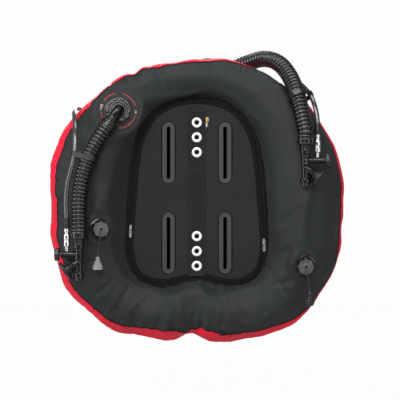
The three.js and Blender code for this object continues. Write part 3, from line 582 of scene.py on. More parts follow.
black_cloth = cloth_material("black_cordura", (0.0065, 0.008, 0.009), (0.0115, 0.0142, 0.0156),
    (0.018, 0.0218, 0.0238), thread=0.0009, rough=(0.55, 0.68), specular=0.4, sheen=0.08)
cell_black = cloth_material("black_cordura_cell", (0.0056, 0.0074, 0.0084), (0.0102, 0.0132, 0.0148),
    (0.0160, 0.0203, 0.0226), thread=0.0009, rough=(0.56, 0.7), specular=0.42, sheen=0.08, crumple=0.0008)
panel_cloth = cloth_material("panel_cordura", (0.0055, 0.007, 0.0078), (0.0095, 0.0118, 0.013),
    (0.0145, 0.0176, 0.0192), thread=0.0012, crumple=0.0012, rough=(0.6, 0.74), specular=0.3, sheen=0.06)
red_cloth = cloth_material("red_nylon", (0.66, 0.004, 0.020), (0.90, 0.007, 0.040), (1.0, 0.018, 0.062),
    thread=0.0006, rough=(0.46, 0.6), sheen=0.02, weave_depth=0.00006, crumple=0.0016, specular=0.3)
# near-black cloth with no reflection at all: this colour is painted shade, used for the slot lips and the dump
# valves' vents
painted_shade_black = cloth_material("black_lining_painted_shade", (0.0005, 0.0005, 0.0005), (0.0009, 0.0009, 0.0009),
    (0.0015, 0.0015, 0.0015), thread=0.0007, specular=0.0, sheen=0.0, crumple=0.0002)
binding_cloth = cloth_material("binding_tape", (0.0025, 0.0027, 0.003), (0.0045, 0.0048, 0.0052),
    (0.008, 0.0085, 0.009), thread=0.0008, twill=0.5, crumple=0.0006, rough=(0.75, 0.9), specular=0.15, sheen=0.02)
flap_cloth = cloth_material("flap_cordura", (0.002, 0.0023, 0.0026), (0.0045, 0.0053, 0.0058),
    (0.010, 0.0118, 0.0128), thread=0.0009, rough=(0.7, 0.85), specular=0.2, sheen=0.04, crumple=0.002)
coil_plastic = cloth_material("zip_coil", (0.002, 0.002, 0.0022), (0.004, 0.004, 0.0044), (0.008, 0.008, 0.0085),
    thread=0.001, crumple=0.0001, specular=0.25, sheen=0.0)


def webbing_material():
    m = Material("webbing", specular=0.25, sheen=0.06, sheen_rough=0.4)
    u, v = m.uv()
    chevron = m.math("ABSOLUTE", m.math("SUBTRACT", m.math("FRACT", m.math("MULTIPLY", u, 1 / 0.0076)), 0.5))
    phase = m.math("ADD", m.math("MULTIPLY", v, 2 * math.pi / 0.0021), m.math("MULTIPLY", chevron, 9.0))
    w = m.math("SINE", phase)
    broad = m.noise(9, 3)
    tone = m.math("ADD", m.math("MULTIPLY", broad, 0.6), m.math("MULTIPLY", w, 0.12))
    m.colour(m.ramp(tone, [(0.15, (0.0045, 0.0052, 0.006)), (0.4, (0.0078, 0.009, 0.0102)),
        (0.65, (0.013, 0.0146, 0.016))]))
    m.rough(m.between(m.noise(180, 2), 0.3, 0.7, 0.55, 0.75))
    m.bump(w, 0.5, 0.0002)
    return m


webbing = webbing_material()


def thread_material(name, colour):
    m = Material(name, specular=0.4, rough=0.55, sheen=0.1)
    n = m.noise(900, 2)
    m.colour(m.ramp(n, [(0.3, tuple(c * 0.7 for c in colour)), (0.7, colour)]))
    m.bump(m.noise(2200, 1), 0.5, 0.0001)
    return m


dark_thread = thread_material("black_thread", (0.035, 0.037, 0.040))
grey_thread = thread_material("grey_thread", (0.085, 0.088, 0.09))
red_thread = thread_material("red_thread", (0.40, 0.012, 0.03))


def moulded(name, dark, light, rough=(0.3, 0.42), grain=900, depth=0.00003, specular=0.5, coat=0.0, metal=0.0):
    """A moulded plastic or rubber: fine grain, faint flow marks and dust in the colour."""
    m = Material(name, specular=specular, coat=coat, metal=metal)
    broad = m.noise(24, 4, 0.6)
    fine = m.noise(grain, 2, 0.6)
    tone = m.math("ADD", m.math("MULTIPLY", broad, 0.7), m.math("MULTIPLY", fine, 0.3))
    m.colour(m.ramp(tone, [(0.3, dark), (0.72, light)]))
    m.rough(m.between(tone, 0.3, 0.7, rough[0], rough[1]))
    m.bump(fine, 0.35, depth)
    m.bump(m.noise(60, 2), 0.12, 0.0002)
    return m


rubber = moulded("black_rubber", (0.0025, 0.0025, 0.0028), (0.006, 0.006, 0.0066), (0.3, 0.42), 700, 0.00004,
    specular=0.55)
hose_rubber = moulded("hose_rubber", (0.003, 0.003, 0.0032), (0.006, 0.006, 0.0066), (0.2, 0.3), 500, 0.00003,
    specular=1.0)
# black rubber of the supply hoses, several times lighter than the other rubbers: the extra lightness is painted
# sheen
lp_rubber_painted_sheen = moulded("supply_hose_rubber_painted_sheen", (0.022, 0.022, 0.0235), (0.038, 0.039, 0.041), (0.18, 0.26), 1200,
    0.00002, specular=1.0, coat=1.0)
plastic = moulded("black_plastic", (0.0025, 0.0025, 0.0027), (0.0055, 0.0055, 0.006), (0.13, 0.22), 1100, 0.00002,
    specular=0.5)
matt_plastic = moulded("black_plastic_matt", (0.003, 0.003, 0.0033), (0.007, 0.007, 0.0076), (0.2, 0.3), 900,
    0.00004, specular=0.7)
grey_plastic = moulded("grey_plastic", (0.028, 0.028, 0.0292), (0.042, 0.042, 0.0436), (0.5, 0.62), 800, 0.00004)
disc_plastic = moulded("dark_grey_plastic", (0.075, 0.075, 0.078), (0.105, 0.105, 0.109), (0.4, 0.5), 900, 0.00003)
# pale grey used only on the left pull knob: a painted reflection on black plastic
painted_reflection_plastic = moulded("pale_grey_painted_reflection", (0.20, 0.20, 0.205), (0.32, 0.32, 0.33), (0.3, 0.42), 900, 0.00002)
white_paint = moulded("pale_print", (0.42, 0.27, 0.22), (0.60, 0.42, 0.36), (0.5, 0.6), 900, 0.00001)
red_paint = moulded("red_print", (0.50, 0.03, 0.014), (0.70, 0.05, 0.024), (0.5, 0.6), 900, 0.00001)
yellow_cloth = cloth_material("yellow_tag", (0.55, 0.30, 0.015), (0.78, 0.45, 0.03), (0.9, 0.58, 0.07),
    thread=0.0005, crumple=0.0003)
white_cloth = cloth_material("white_tag", (0.42, 0.43, 0.44), (0.6, 0.6, 0.61), (0.75, 0.75, 0.76), thread=0.0005,
    crumple=0.0003)
tag_cloth = cloth_material("dark_tag", (0.012, 0.013, 0.014), (0.02, 0.021, 0.022), (0.03, 0.031, 0.033),
    thread=0.0005, crumple=0.0003)


def metal_material(name, dark, light, rough, brushed=0.0):
    m = Material(name, metal=1.0, specular=0.5)
    scratch = m.noise(140, 4, 0.6, 0.2, stretch=(1, 1, 9) if brushed else None)
    m.colour(m.ramp(scratch, [(0.3, dark), (0.65, light)]))
    m.rough(m.between(scratch, 0.3, 0.7, rough[0], rough[1]))
    m.bump(m.noise(420, 2), 0.1, 0.00003)
    return m


nickel = metal_material("nickel", (0.90, 0.90, 0.90), (0.98, 0.98, 0.98), (0.38, 0.5))
# only partly metal: the metal is real, but the near-white base colour also shows as matte white, a painted
# reflection that keeps the grommets bright under any lamp
nickel.shader.inputs["Metallic"].default_value = 0.55
chrome = metal_material("chrome", (0.74, 0.75, 0.76), (0.90, 0.91, 0.92), (0.06, 0.14))
steel = metal_material("spring_steel", (0.45, 0.46, 0.47), (0.66, 0.67, 0.68), (0.2, 0.34), 1.0)
grey_metal = metal_material("slider_metal", (0.30, 0.30, 0.31), (0.48, 0.48, 0.49), (0.3, 0.44))

# ------------------------------------------------------------------ the wing's form

HALF_WIDTH, TOP, BOTTOM = 362, 340, 362
MIDPLANE = -1.6
OVAL = ((0, 238), (23, 232), (43, 204), (63, 174), (90, 163), (115, 185), (132, 225), (143, 249), (154, 247),
    (180, 208))
# direction in degrees from +X towards +Z, then the section angle where black meets red
SEAM = ((0, 163), (25, 161), (45, 155), (62, 147), (75, 140), (90, 137), (106, 140), (116, 152), (126, 143),
    (145, 144), (165, 146), (178, 152), (190, 146), (205, 146), (222, 141), (238, 136), (250, 131), (261, 128),
    (267, 153), (272, 129), (279, 133), (292, 139), (306, 150), (322, 158), (345, 164), (360, 163))


def smooth_table(table, x):
    x = arr(x)
    xs, ys = arr([t[0] for t in table]), arr([t[1] for t in table])
    slope = np.zeros(len(xs))
    slope[1:-1] = (ys[2:] - ys[:-2]) / (xs[2:] - xs[:-2])
    k = np.clip(np.searchsorted(xs, x, side="left") - 1, 0, len(xs) - 2)
    h = xs[k + 1] - xs[k]
    s = (x - xs[k]) / h
    return ((2 * s ** 3 - 3 * s * s + 1) * ys[k] + (s ** 3 - 2 * s * s + s) * h * slope[k]
            + (-2 * s ** 3 + 3 * s * s) * ys[k + 1] + (s ** 3 - s * s) * h * slope[k + 1])


def oval_radius(angle):
    turn = (90 - arr(angle)) % 360
    return smooth_table(OVAL, np.where(turn > 180, 360 - turn, turn))


def outline_radius(angle):
    a = np.radians(arr(angle))
    c, s = np.abs(np.cos(a)), np.sin(a)
    p = np.where(s >= 0, 2.0, 2.6)
    h = np.where(s >= 0, TOP, BOTTOM)
    r = ((c / HALF_WIDTH) ** p + (np.abs(s) / h) ** p) ** (-1 / p)
    return r - 27 * np.exp(-((arr(angle) % 360 - 268) / 5.5) ** 2)


def cell_point(angle, phi, inset=0.0):
    inner, outer = oval_radius(angle), outline_radius(angle)
    width = outer - inner
    half, deep = width / 2 - inset, 0.36 * width + 14 - inset
    phi, a = np.radians(arr(phi)), np.radians(arr(angle))
    r = (inner + outer) / 2 - half * np.cos(phi)
    return np.stack([r * np.cos(a), MIDPLANE - deep * np.sin(phi), r * np.sin(a)], -1)


# how far the sewn edge strays from its even outline, by direction
STRAY = ((0, -3), (14, -4), (30, -4), (46, 0), (62, 3), (78, 7), (90, -3), (100, -5), (112, -4), (117, -8),
    (124, 2), (138, 3), (152, 4), (166, 3), (176, -3), (184, -5), (196, 0), (206, -2), (216, 4), (228, 0), (238, 5),
    (248, -4), (258, 3), (267, 7), (276, 1), (286, 5), (300, 3), (312, 5), (322, -2), (336, 2), (350, -2))

# seats of the two elbows and two dump valves: centre, outward normal, flat radius, end of the blend
SEATS = {
    "port_left": ((-188.4, -64.6, 200.7), (0.115, -0.990, 0.081), 51, 76),
    "port_right": ((28.0, 45.7, 289.8), (-0.004, 0.999, 0.045), 40, 60),
    "dump_left": ((-232.0, -78.9, -84.0), (0.287, -0.958, 0.005), 29, 46),
    "dump_right": ((259.7, -77.3, -171.5), (0.086, -0.985, -0.149), 29, 46),
}
STAGES = {k: (arr(c), unit(n), r0, r1) for k, (c, n, r0, r1) in SEATS.items()}

# ------------------------------------------------------------------ the cords

AIR_DIAMETER, LP_DIAMETER, PULL_DIAMETER = 41.0, 11.5, 2.2
AIR_ROUTE = {
    "left": ((-206, -103, 171), (-217, -105, 155), (-229, -107, 137), (-241, -108, 117), (-252, -108.5, 97),
    (-261, -109, 75), (-268.5, -109, 50), (-274, -109, 24), (-277.5, -108.5, -3), (-279, -108, -30),
    (-279, -107.5, -58), (-279, -107.5, -81), (-279, -107.5, -103)),
    "right": ((63, 88, 303), (86, 86, 313), (110, 76, 324), (136, 57, 332), (162, 30, 336), (186, 2, 330),
    (206, -21, 315), (221, -40, 293), (232, -58, 268), (240, -75, 240), (247, -89, 208), (253, -99, 176),
    (258, -104, 150), (258, -104, 135), (258, -104, 120)),
}
LP_ROUTE = {
    "left": ((-308, -107.5, -72.9), (-308.5, -107.5, -50), (-309.5, -108, -16), (-306.5, -109, 19),
    (-300, -109.5, 48), (-293.5, -109, 75), (-289, -107, 104), (-288, -103, 133), (-289.5, -91, 160),
    (-293.5, -68, 183), (-298, -38, 199), (-299.5, -8, 209), (-294, 22, 213), (-284, 50, 208), (-273, 72, 193),
    (-264, 86, 168), (-259, 92, 136), (-257, 94, 104), (-256.5, 95, 72), (-256, 95, 46), (-256, 95, 31),
    (-256, 95, 16)),
    "right": ((287, -104, 150.1), (286.8, -104, 172), (284.5, -101, 194), (280, -94, 214), (275, -82, 231),
    (267, -65, 247), (256, -41, 263), (244, -14, 274), (233, 13, 277), (224, 40, 269), (217, 62, 252),
    (212.5, 78, 230), (210.5, 87, 202), (210, 91, 168), (210, 93, 130), (210, 94, 90), (210, 94, 48), (210, 94, 6),
    (210, 94, -40), (210, 94, -88)),
}
PULL_ROUTE = {
    "left": ((0, 0, 0), (0.9, -3.2, -0.4), (1, -5, -4), (-1, -5.6, -11), (-3.4, -5, -20), (-5.2, -4, -30),
    (-6.6, -3, -42), (-7.6, -2.6, -54), (-8.4, -2.4, -66)),
    "right": ((0, 0, 0), (0.4, -3.2, -0.8), (1.2, -5, -4.4), (2.2, -5, -11), (3.4, -4.4, -20), (4.6, -3.6, -30),
    (5.8, -3, -42), (6.8, -2.6, -52), (7.4, -2.4, -62)),
}
air_line, lp_line, pull_line, lengths = {}, {}, {}, {}
pull_exit = {s: STAGES[f"dump_{s}"][0] + STAGES[f"dump_{s}"][1] * 17.6 for s in SIDES}
for s in SIDES:
    air_line[s], lengths["air", s] = curve_points(AIR_ROUTE[s], 0.93)
    lp_line[s], lengths["lp", s] = curve_points(LP_ROUTE[s], 3.0)
    pull_line[s], lengths["pull", s] = curve_points(arr(PULL_ROUTE[s]) + pull_exit[s], 1.0)


def corrugated(length, count):
    """Radius along a breathing hose: rounded ribs, and a plain cuff at each end."""
    s = np.linspace(0, length, count)
    cuff = 13.0
    ribs = round((length - 2 * cuff) / 9.3)
    pitch = (length - 2 * cuff) / ribs
    x = ((s - cuff) / pitch) % 1.0
    crest = 0.5 - 0.5 * np.cos(2 * np.pi * x)
    crest = np.clip(crest * 1.35, 0, 1) ** 0.8
    r = AIR_DIAMETER * (0.382 + 0.118 * crest)
    plain = (s < cuff) | (s > length - cuff)
    r = np.where(plain, AIR_DIAMETER * 0.452, r)
    lip = np.minimum(np.abs(s - 1.4), np.abs(length - 1.4 - s))
    return r + np.exp(-(lip / 1.3) ** 2) * 0.9


air_hose, lp_hose, pull_cord = {}, {}, {}
for s in SIDES:
    line = air_line[s]
    o = sweep(f"air_hose_skin_{s}", line, corrugated(lengths["air", s], len(line)), 40)
    air_hose[s] = piece(o, hose_rubber, "root", f"air_hose_{s}", sharp=0)
    o = sweep(f"supply_hose_skin_{s}", lp_line[s], LP_DIAMETER / 2, 20)
    lp_hose[s] = piece(o, lp_rubber_painted_sheen, "root", f"lp_hose_{s}", sharp=0)
    line = pull_line[s]
    turns = np.arange(len(line)) * 2 * math.pi / 4.4
    t, a, b = transport(line)
    strands = []
    for k in range(3):
        ang = turns + k * 2 * math.pi / 3
        off = (np.cos(ang)[:, None] * a + np.sin(ang)[:, None] * b) * 0.52
        off[0] *= 0.2
        strands.append(sweep("strand", line + off, 0.6, 8, cap=True))
    o = join(f"pull_cord_lay_{s}", strands)
    pull_cord[s] = piece(o, dark_thread, f"dump_poppet_{s}", f"pull_cord_{s}", sharp=0)

# ------------------------------------------------------------------ the air cell's two skins

AROUND, SECTION, SEAM_ROW = 288, 64, 28
FRAMES, PRESSURE, SHRINK = 20, 4, -0.032  # of the cloth simulation
EVEN_PASSES, MOST_SWELL = 5, 8.0  # what is kept of it, in passes and millimetres


def hash_noise(points, seed=0):
    """Smooth value noise from -1 to 1, the same on every run."""
    p = arr(points) + seed * 17.31
    cell = np.floor(p)
    f = p - cell
    f = f * f * f * (f * (f * 6 - 15) + 10)
    total = 0
    for dx in (0, 1):
        for dy in (0, 1):
            for dz in (0, 1):
                c = cell + (dx, dy, dz)
                h = np.sin(c[..., 0] * 127.1 + c[..., 1] * 311.7 + c[..., 2] * 74.7) * 43758.5453
                h = (h - np.floor(h)) * 2 - 1
                w = (f[..., 0] if dx else 1 - f[..., 0]) * (f[..., 1] if dy else 1 - f[..., 1]) * (f[..., 2] if dz
                    else 1 - f[..., 2])
                total = total + h * w
    return total


def seam_angle(a):
    return np.interp(arr(a) % 360, [t[0] for t in SEAM], [t[1] for t in SEAM])


def angular(a, table):
    """A smooth value round the wing from a few (direction, value) pairs."""
    x = arr([t[0] for t in table] + [table[0][0] + 360])
    y = arr([t[1] for t in table] + [table[0][1]])
    a = (arr(a) - x[0]) % 360 + x[0]
    k = np.clip(np.searchsorted(x, a, side="right") - 1, 0, len(x) - 2)
    f = (a - x[k]) / (x[k + 1] - x[k])
    f = f * f * (3 - 2 * f)
    return y[k] + (y[k + 1] - y[k]) * f


def section_grid(around, section, row, inset):
    a = np.arange(around) * 360 / around
    seam = seam_angle(a)
    k = np.arange(section)
    front = seam[:, None] * (k / row)[None, :]
    back = seam[:, None] + (360 - seam[:, None]) * ((k - row) / (section - row))[None, :]
    phi = np.where(k[None, :] <= row, front, back)
    angle = np.repeat(a[:, None], section, 1)
    return cell_point(angle, phi, inset), angle, phi


def flatten_seats(p):
    for centre, n, r0, r1 in STAGES.values():
        rel = p - centre
        h = rel @ n
        rho = np.linalg.norm(rel - h[..., None] * n, axis=-1)
        w = np.clip((r1 - rho) / (r1 - r0), 0, 1)
        w = w * w * (3 - 2 * w)
        w = np.where(np.abs(h) < 40, w, 0)
        p = p - (h * w)[..., None] * n
    return p


def swollen(base):
    """Cloth blown up between its pinned seams and seats; the cap keeps it near the base form."""
    obj = grid("cell_cloth", base, True, True)
    group = obj.vertex_groups.new(name="pin")
    flat = base.reshape(-1, 3)
    hold = np.zeros(base.shape[:2], bool)
    hold[:, 0] = hold[:, SEAM_ROW] = True
    hold = hold.reshape(-1)
    for centre, n, r0, _ in STAGES.values():
        rel = flat - centre
        h = rel @ n
        rho = np.linalg.norm(rel - h[:, None] * n, axis=-1)
        hold |= (rho < r0) & (np.abs(h) < 30)
    group.add([int(i) for i in np.nonzero(hold)[0]], 1.0, "REPLACE")
    cloth = obj.modifiers.new("cloth", "CLOTH")
    c = cloth.settings
    c.quality = 5
    c.mass = 0.25
    c.tension_stiffness = c.compression_stiffness = 18
    c.shear_stiffness = 6
    c.bending_stiffness = 0.05
    c.tension_damping = c.compression_damping = 8
    c.air_damping = 2
    c.shrink_min = SHRINK
    c.use_pressure = True
    c.uniform_pressure_force = PRESSURE
    c.vertex_group_mass = "pin"
    c.effector_weights.gravity = 0
    cloth.collision_settings.use_collision = False
    cloth.collision_settings.use_self_collision = False
    cloth.point_cache.frame_start, cloth.point_cache.frame_end = 1, FRAMES
    scene.frame_start, scene.frame_end = 1, FRAMES
    for f in range(1, FRAMES + 1):
        scene.frame_set(f)
    done = obj.evaluated_get(bpy.context.evaluated_depsgraph_get())
    co = np.zeros(len(done.data.vertices) * 3)
    done.data.vertices.foreach_get("co", co)
    scene.frame_set(1)
    bpy.data.objects.remove(obj)
    moved = co.reshape(base.shape) / MM - base
    # cloth of this weight doesn't keep the smallest dents, so they are evened out along and across
    for _ in range(EVEN_PASSES):
        moved = 0.5 * moved + 0.25 * (np.roll(moved, 1, 0) + np.roll(moved, -1, 0))
        moved[:, 1:-1] = 0.5 * moved[:, 1:-1] + 0.25 * (moved[:, :-2] + moved[:, 2:])
    size = np.linalg.norm(moved, axis=-1, keepdims=True)
    return moved * (MOST_SWELL * np.tanh(size / MOST_SWELL) / np.maximum(size, 1e-6))


def finer(p):
    """Twice the points both ways on the closed sheet, on smooth curves."""
    for axis in (0, 1):
        mid = (9 * (p + np.roll(p, -1, axis)) - np.roll(p, 1, axis) - np.roll(p, -2, axis)) / 16
        both = np.stack([p, mid], axis + 1)
        shape = list(p.shape)
        shape[axis] *= 2
        p = both.reshape(shape)
    return p


base, _, _ = section_grid(AROUND, SECTION, SEAM_ROW, 2.6)
stray = angular(np.arange(AROUND) * 360 / AROUND, STRAY)
phi_share = np.linalg.norm((base - base[:, :1])[..., [0, 2]], axis=-1)
phi_share = (phi_share / phi_share.max(1, keepdims=True)) ** 2
out_x, out_z = np.cos(np.radians(np.arange(AROUND) * 360 / AROUND)), np.sin(np.radians(np.arange(AROUND)
    * 360 / AROUND))
base = base + (stray[:, None] * phi_share)[..., None] * np.stack([out_x, out_x * 0, out_z], -1)[:, None]
base = flatten_seats(base)
swell = swollen(base)
skin = finer(base + swell)
AROUND, SECTION, SEAM_ROW = AROUND * 2, SECTION * 2, SEAM_ROW * 2
ANGLE = np.arange(AROUND) * 360 / AROUND


def grid_normals(p):
    du = np.roll(p, -1, 0) - np.roll(p, 1, 0)
    dv = np.roll(p, -1, 1) - np.roll(p, 1, 1)
    n = np.cross(du, dv)
    n /= np.maximum(np.linalg.norm(n, axis=-1, keepdims=True), 1e-9)
    a = np.radians(ANGLE)
    middle = (oval_radius(ANGLE) + outline_radius(ANGLE)) / 2
    centre = np.stack([middle * np.cos(a), np.full_like(a, MIDPLANE), middle * np.sin(a)], -1)
    if np.sum((p - centre[:, None]) * n) < 0:
        n = -n
    return n, centre


def arc_lengths(p):
    step = np.linalg.norm(np.roll(p, -1, 1) - p, axis=-1)
    return np.concatenate([np.zeros((len(p), 1)), np.cumsum(step, 1)], 1)


s_all = arc_lengths(skin)
total = s_all[:, -1:]
s = s_all[:, :-1]
seam_s = s[:, SEAM_ROW:SEAM_ROW + 1]
is_front = np.arange(SECTION)[None, :] <= SEAM_ROW
from_inner = np.where(is_front, s, total - s)
from_seam = np.abs(s - seam_s)
normal, centre_line = grid_normals(skin)
inner_edge, outer_edge = skin[:, 0], skin[:, SEAM_ROW]

# gathers that run out from the inner seam, deepest along the bottom
depth_in = angular(ANGLE, ((0, 1.7), (45, 1.6), (90, 1.9), (135, 1.9), (180, 1.9), (215, 2.4), (240, 3.4),
    (270, 4.0), (300, 3.4), (325, 2.2)))[:, None]
reach_in = angular(ANGLE, ((0, 18), (90, 20), (180, 20), (235, 32), (270, 38), (305, 32), (330, 22)))[:, None]
q = np.stack([np.broadcast_to(inner_edge[:, None, 0], s.shape) / 13, from_inner / 95,
    np.broadcast_to(inner_edge[:, None, 2], s.shape) / 13], -1)
gather_in = hash_noise(q, 1) + 0.6 * (0.45 - np.abs(hash_noise(q * (1.7, 1.3, 1.7), 2))) * 2
lift = depth_in * gather_in * np.exp(-from_inner / reach_in) * (1 - np.exp(-from_inner / 4.5))

# puckers on both sides of the outer seam
depth_out = angular(ANGLE, ((0, 1.8), (35, 1.8), (60, 2.4), (95, 2.8), (118, 3.4), (150, 3.8), (185, 3.8),
    (225, 4.2), (250, 4.6), (268, 5.0), (290, 4.0), (310, 2.8), (335, 2.0)))[:, None]
reach_out = angular(ANGLE, ((0, 18), (60, 22), (110, 28), (180, 30), (240, 34), (268, 40), (300, 28),
    (330, 20)))[:, None]
q = np.stack([np.broadcast_to(outer_edge[:, None, 0], s.shape) / 19, from_seam / 110,
    np.broadcast_to(outer_edge[:, None, 2], s.shape) / 19], -1)
pucker = hash_noise(q, 3) + 0.7 * (0.45 - np.abs(hash_noise(q * (1.6, 1.3, 1.6), 4))) * 2
lift = lift + depth_out * pucker * (np.exp(-from_seam / reach_out) * (0.5 + 0.5 * (1 - np.exp(-from_seam / 5))))

# slack between the seams: slow swells and a few soft diagonal folds
wide = skin / 78
lift = lift + 1.7 * hash_noise(wide, 5) * np.clip(from_inner / 50, 0, 1) * np.clip(from_seam / 45, 0, 1)
rough_fold = hash_noise(np.stack([(skin[..., 0] * 0.8 + skin[..., 2] * 0.6) / 34, skin[..., 1] / 60,
    (skin[..., 2] * 0.8 - skin[..., 0] * 0.6) / 120], -1), 6)
lift = lift + 0.9 * rough_fold * np.clip(from_inner / 30, 0, 1) * np.clip(from_seam / 24, 0, 1)

# named folds on the black side: (x, z) at each end, half width, depth
FOLDS = (
    (-96, 322, -84, 262, 7, 5.0), (-84, 318, -60, 276, 6, 2.6), (-118, 316, -124, 272, 6, 2.4),
    (-12, -330, -14, -296, 7, 5.0), (-34, -322, -28, -276, 5, 3.0), (14, -326, 10, -282, 5, 3.0),
    (40, -326, 30, -284, 6, 2.6), (-64, -326, -50, -286, 6, 2.6),
    (-150, -300, -122, -250, 7, 3.0), (-196, -276, -160, -226, 7, 2.8), (-236, -238, -196, -196, 6, 2.4),
    (-286, -176, -238, -150, 6, 2.4), (-318, -60, -278, -52, 6, 2.2), (-318, 40, -282, 34, 6, 2.2),
    (-306, 118, -270, 100, 6, 2.4), (-262, 214, -236, 188, 6, 2.4), (-214, 268, -196, 244, 6, 2.0),
    (60, -312, 66, -262, 6, 2.4), (112, -302, 104, -258, 6, 2.2), (166, -282, 150, -238, 6, 2.4),
    (226, -246, 196, -206, 6, 2.2), (296, -214, 246, -196, 6, 2.4), (322, -150, 284, -140, 6, 2.0),
    (328, -20, 296, -18, 6, 1.6), (300, 168, 268, 150, 6, 2.0), (36, 316, 34, 276, 6, 2.0),
    (216, -132, 166, -168, 6, 2.2), (228, -204, 178, -226, 7, 2.4), (-150, -118, -186, -148, 6, 2.0),
    (-196, -40, -232, -14, 7, 1.8), (206, -62, 246, -40, 7, 1.8), (-176, 120, -214, 142, 6, 1.8),
)
front_side = np.clip(-(skin[..., 1] - MIDPLANE) / 30, 0, 1)
for x0, z0, x1, z1, half, deep in FOLDS:
    a, b = arr([x0, z0]), arr([x1, z1])
    rel = skin[..., [0, 2]] - a
    along = (rel @ (b - a)) / np.dot(b - a, b - a)
    t = np.clip(along, 0, 1)
    bend = 4.0 * np.sin(along * 3.1 + x0)
    side = (rel[..., 0] * (b - a)[1] - rel[..., 1] * (b - a)[0]) / np.linalg.norm(b - a)
    over = np.maximum(np.abs(along - t) * np.linalg.norm(b - a) - 1, 0)
    d = np.hypot(side + bend, over)
    taper = np.sin(np.clip(1 - t * 0.86, 0, 1) * math.pi / 2)
    w = half * (1.25 - 0.5 * t)
    dip = -np.exp(-(d / w) ** 2) + 0.42 * np.exp(-((d - 1.9 * w) / (1.1 * w)) ** 2)
    lift = lift + deep * taper * dip * front_side

# the seats stay smooth, with short pleats starting at their rims
calm = np.ones(s.shape)
pleat = np.zeros(s.shape)
for name, (c, n, r0, r1) in STAGES.items():
    rel = skin - c
    h = rel @ n
    flat = rel - h[..., None] * n
    rho = np.linalg.norm(flat, axis=-1)
    near = np.abs(h) < 40
    w = np.clip((rho - r0 + 6) / 16, 0, 1)
    calm = np.where(near, np.minimum(calm, w), calm)
    turn = np.stack([flat[..., 0], flat[..., 1], flat[..., 2]], -1) / np.maximum(rho, 1)[..., None]
    star = hash_noise(turn * 3.4, 7)
    pleat = pleat + np.where(near, 1.5 * star * np.exp(-np.maximum(rho - r0, 0) / 20) * np.clip((rho - r0 + 4) / 8,
        0, 1), 0)
lift = (lift + pleat) * calm
skin = skin + normal * lift[..., None]
skin = flatten_seats(skin)
s_all = arc_lengths(skin)
total, s = s_all[:, -1:], s_all[:, :-1]

ca, sa = np.cos(np.radians(ANGLE)), np.sin(np.radians(ANGLE))
inner_r = oval_radius(ANGLE)


def skin_part(name, rows, lengths_from_inner, flip):
    """One skin with a turned-in hem at both its edges."""
    p = skin[:, rows % SECTION]
    hem_a = p[:, 0] + 4 * (centre_line - p[:, 0]) / np.linalg.norm(centre_line - p[:, 0], axis=1)[:, None]
    hem_b = p[:, -1] + 4 * (centre_line - p[:, -1]) / np.linalg.norm(centre_line - p[:, -1], axis=1)[:, None]
    p = np.concatenate([hem_a[:, None], p, hem_b[:, None]], 1)
    r = np.concatenate([lengths_from_inner[:, :1] - 4, lengths_from_inner, lengths_from_inner[:, -1:] + 4],
        1) + inner_r[:, None]
    uv = np.stack([ca[:, None] * r, sa[:, None] * r], -1) * MM
    uv = np.concatenate([uv, uv[:1]], 0)
    return grid(name, p, True, False, uv, flip)


def pleat_layer(obj, layer_name, along, across, flip=True):
    """A second UV: run along a seam and distance from it, in metres."""
    u = np.concatenate([along, [along[-1] * 2 - along[-2]]])
    v = np.concatenate([across[:, :1], across, across[:, -1:]], 1)
    v = np.concatenate([v, v[:1]], 0)
    both = np.stack([np.broadcast_to(u[:, None], v.shape), v], -1) * MM
    layer = obj.data.uv_layers.new(name=layer_name)
    layer.data.foreach_set("uv", face_corners(both, flip).reshape(-1).astype(np.float32))


front_rows = np.arange(0, SEAM_ROW + 1)
back_rows = np.arange(SEAM_ROW, SECTION + 1)
front_skin = skin_part("cell_front_skin", front_rows, s_all[:, front_rows], True)
back_skin = skin_part("cell_back_skin", back_rows, (total - s_all)[:, back_rows], True)
outer_run, inner_run = run_length(skin[:, SEAM_ROW]), run_length(skin[:, 0])
seam_at = s_all[:, SEAM_ROW:SEAM_ROW + 1]
pleat_layer(front_skin, "outer", outer_run, seam_at - s_all[:, front_rows])
pleat_layer(front_skin, "inner", inner_run, s_all[:, front_rows])
pleat_layer(back_skin, "outer", outer_run, s_all[:, back_rows] - seam_at)
pleat_layer(back_skin, "inner", inner_run, total - s_all[:, back_rows])
for m in (cell_black, red_cloth):
    for layer_name, pitch, length, reach, depth in (("outer", 0.0075, 0.07, 0.026, 0.0042),
        ("inner", 0.007, 0.07, 0.020, 0.0040)):
        source = m.add("ShaderNodeUVMap", uv_map=layer_name)
        scale = m.add("ShaderNodeMapping")
        scale.inputs["Scale"].default_value = (1 / pitch, 1 / length, 1)
        m.tree.links.new(source.outputs[0], scale.inputs["Vector"])
        n = m.add("ShaderNodeTexNoise")
        n.inputs["Scale"].default_value = 1.0
        n.inputs["Detail"].default_value = 2.0
        m.tree.links.new(scale.outputs[0], n.inputs["Vector"])
        split = m.add("ShaderNodeSeparateXYZ")
        m.tree.links.new(source.outputs[0], split.inputs[0])
        fade = m.math("POWER", 2.718, m.math("MULTIPLY", split.outputs[1], -1 / reach))
        m.bump(m.math("MULTIPLY", m.math("SUBTRACT", n.outputs["Fac"], 0.5), fade), 0.9, depth)
piece(front_skin, cell_black, "root", ("front_shell", "bladder_primary"), sharp=0)
piece(back_skin, red_cloth, "root", ("back_shell", "bladder_backup"), sharp=0)

normal, _ = grid_normals(skin)


def seam_stitches(name, row, stand, thread, slot, **sizes):
    """Stitches along one closed row of the skins, standing this far off the cloth."""
    up = looped(normal[:, row])
    stitches(name, [(looped(skin[:, row]) + up * stand, up)], thread, slot=slot, **sizes)


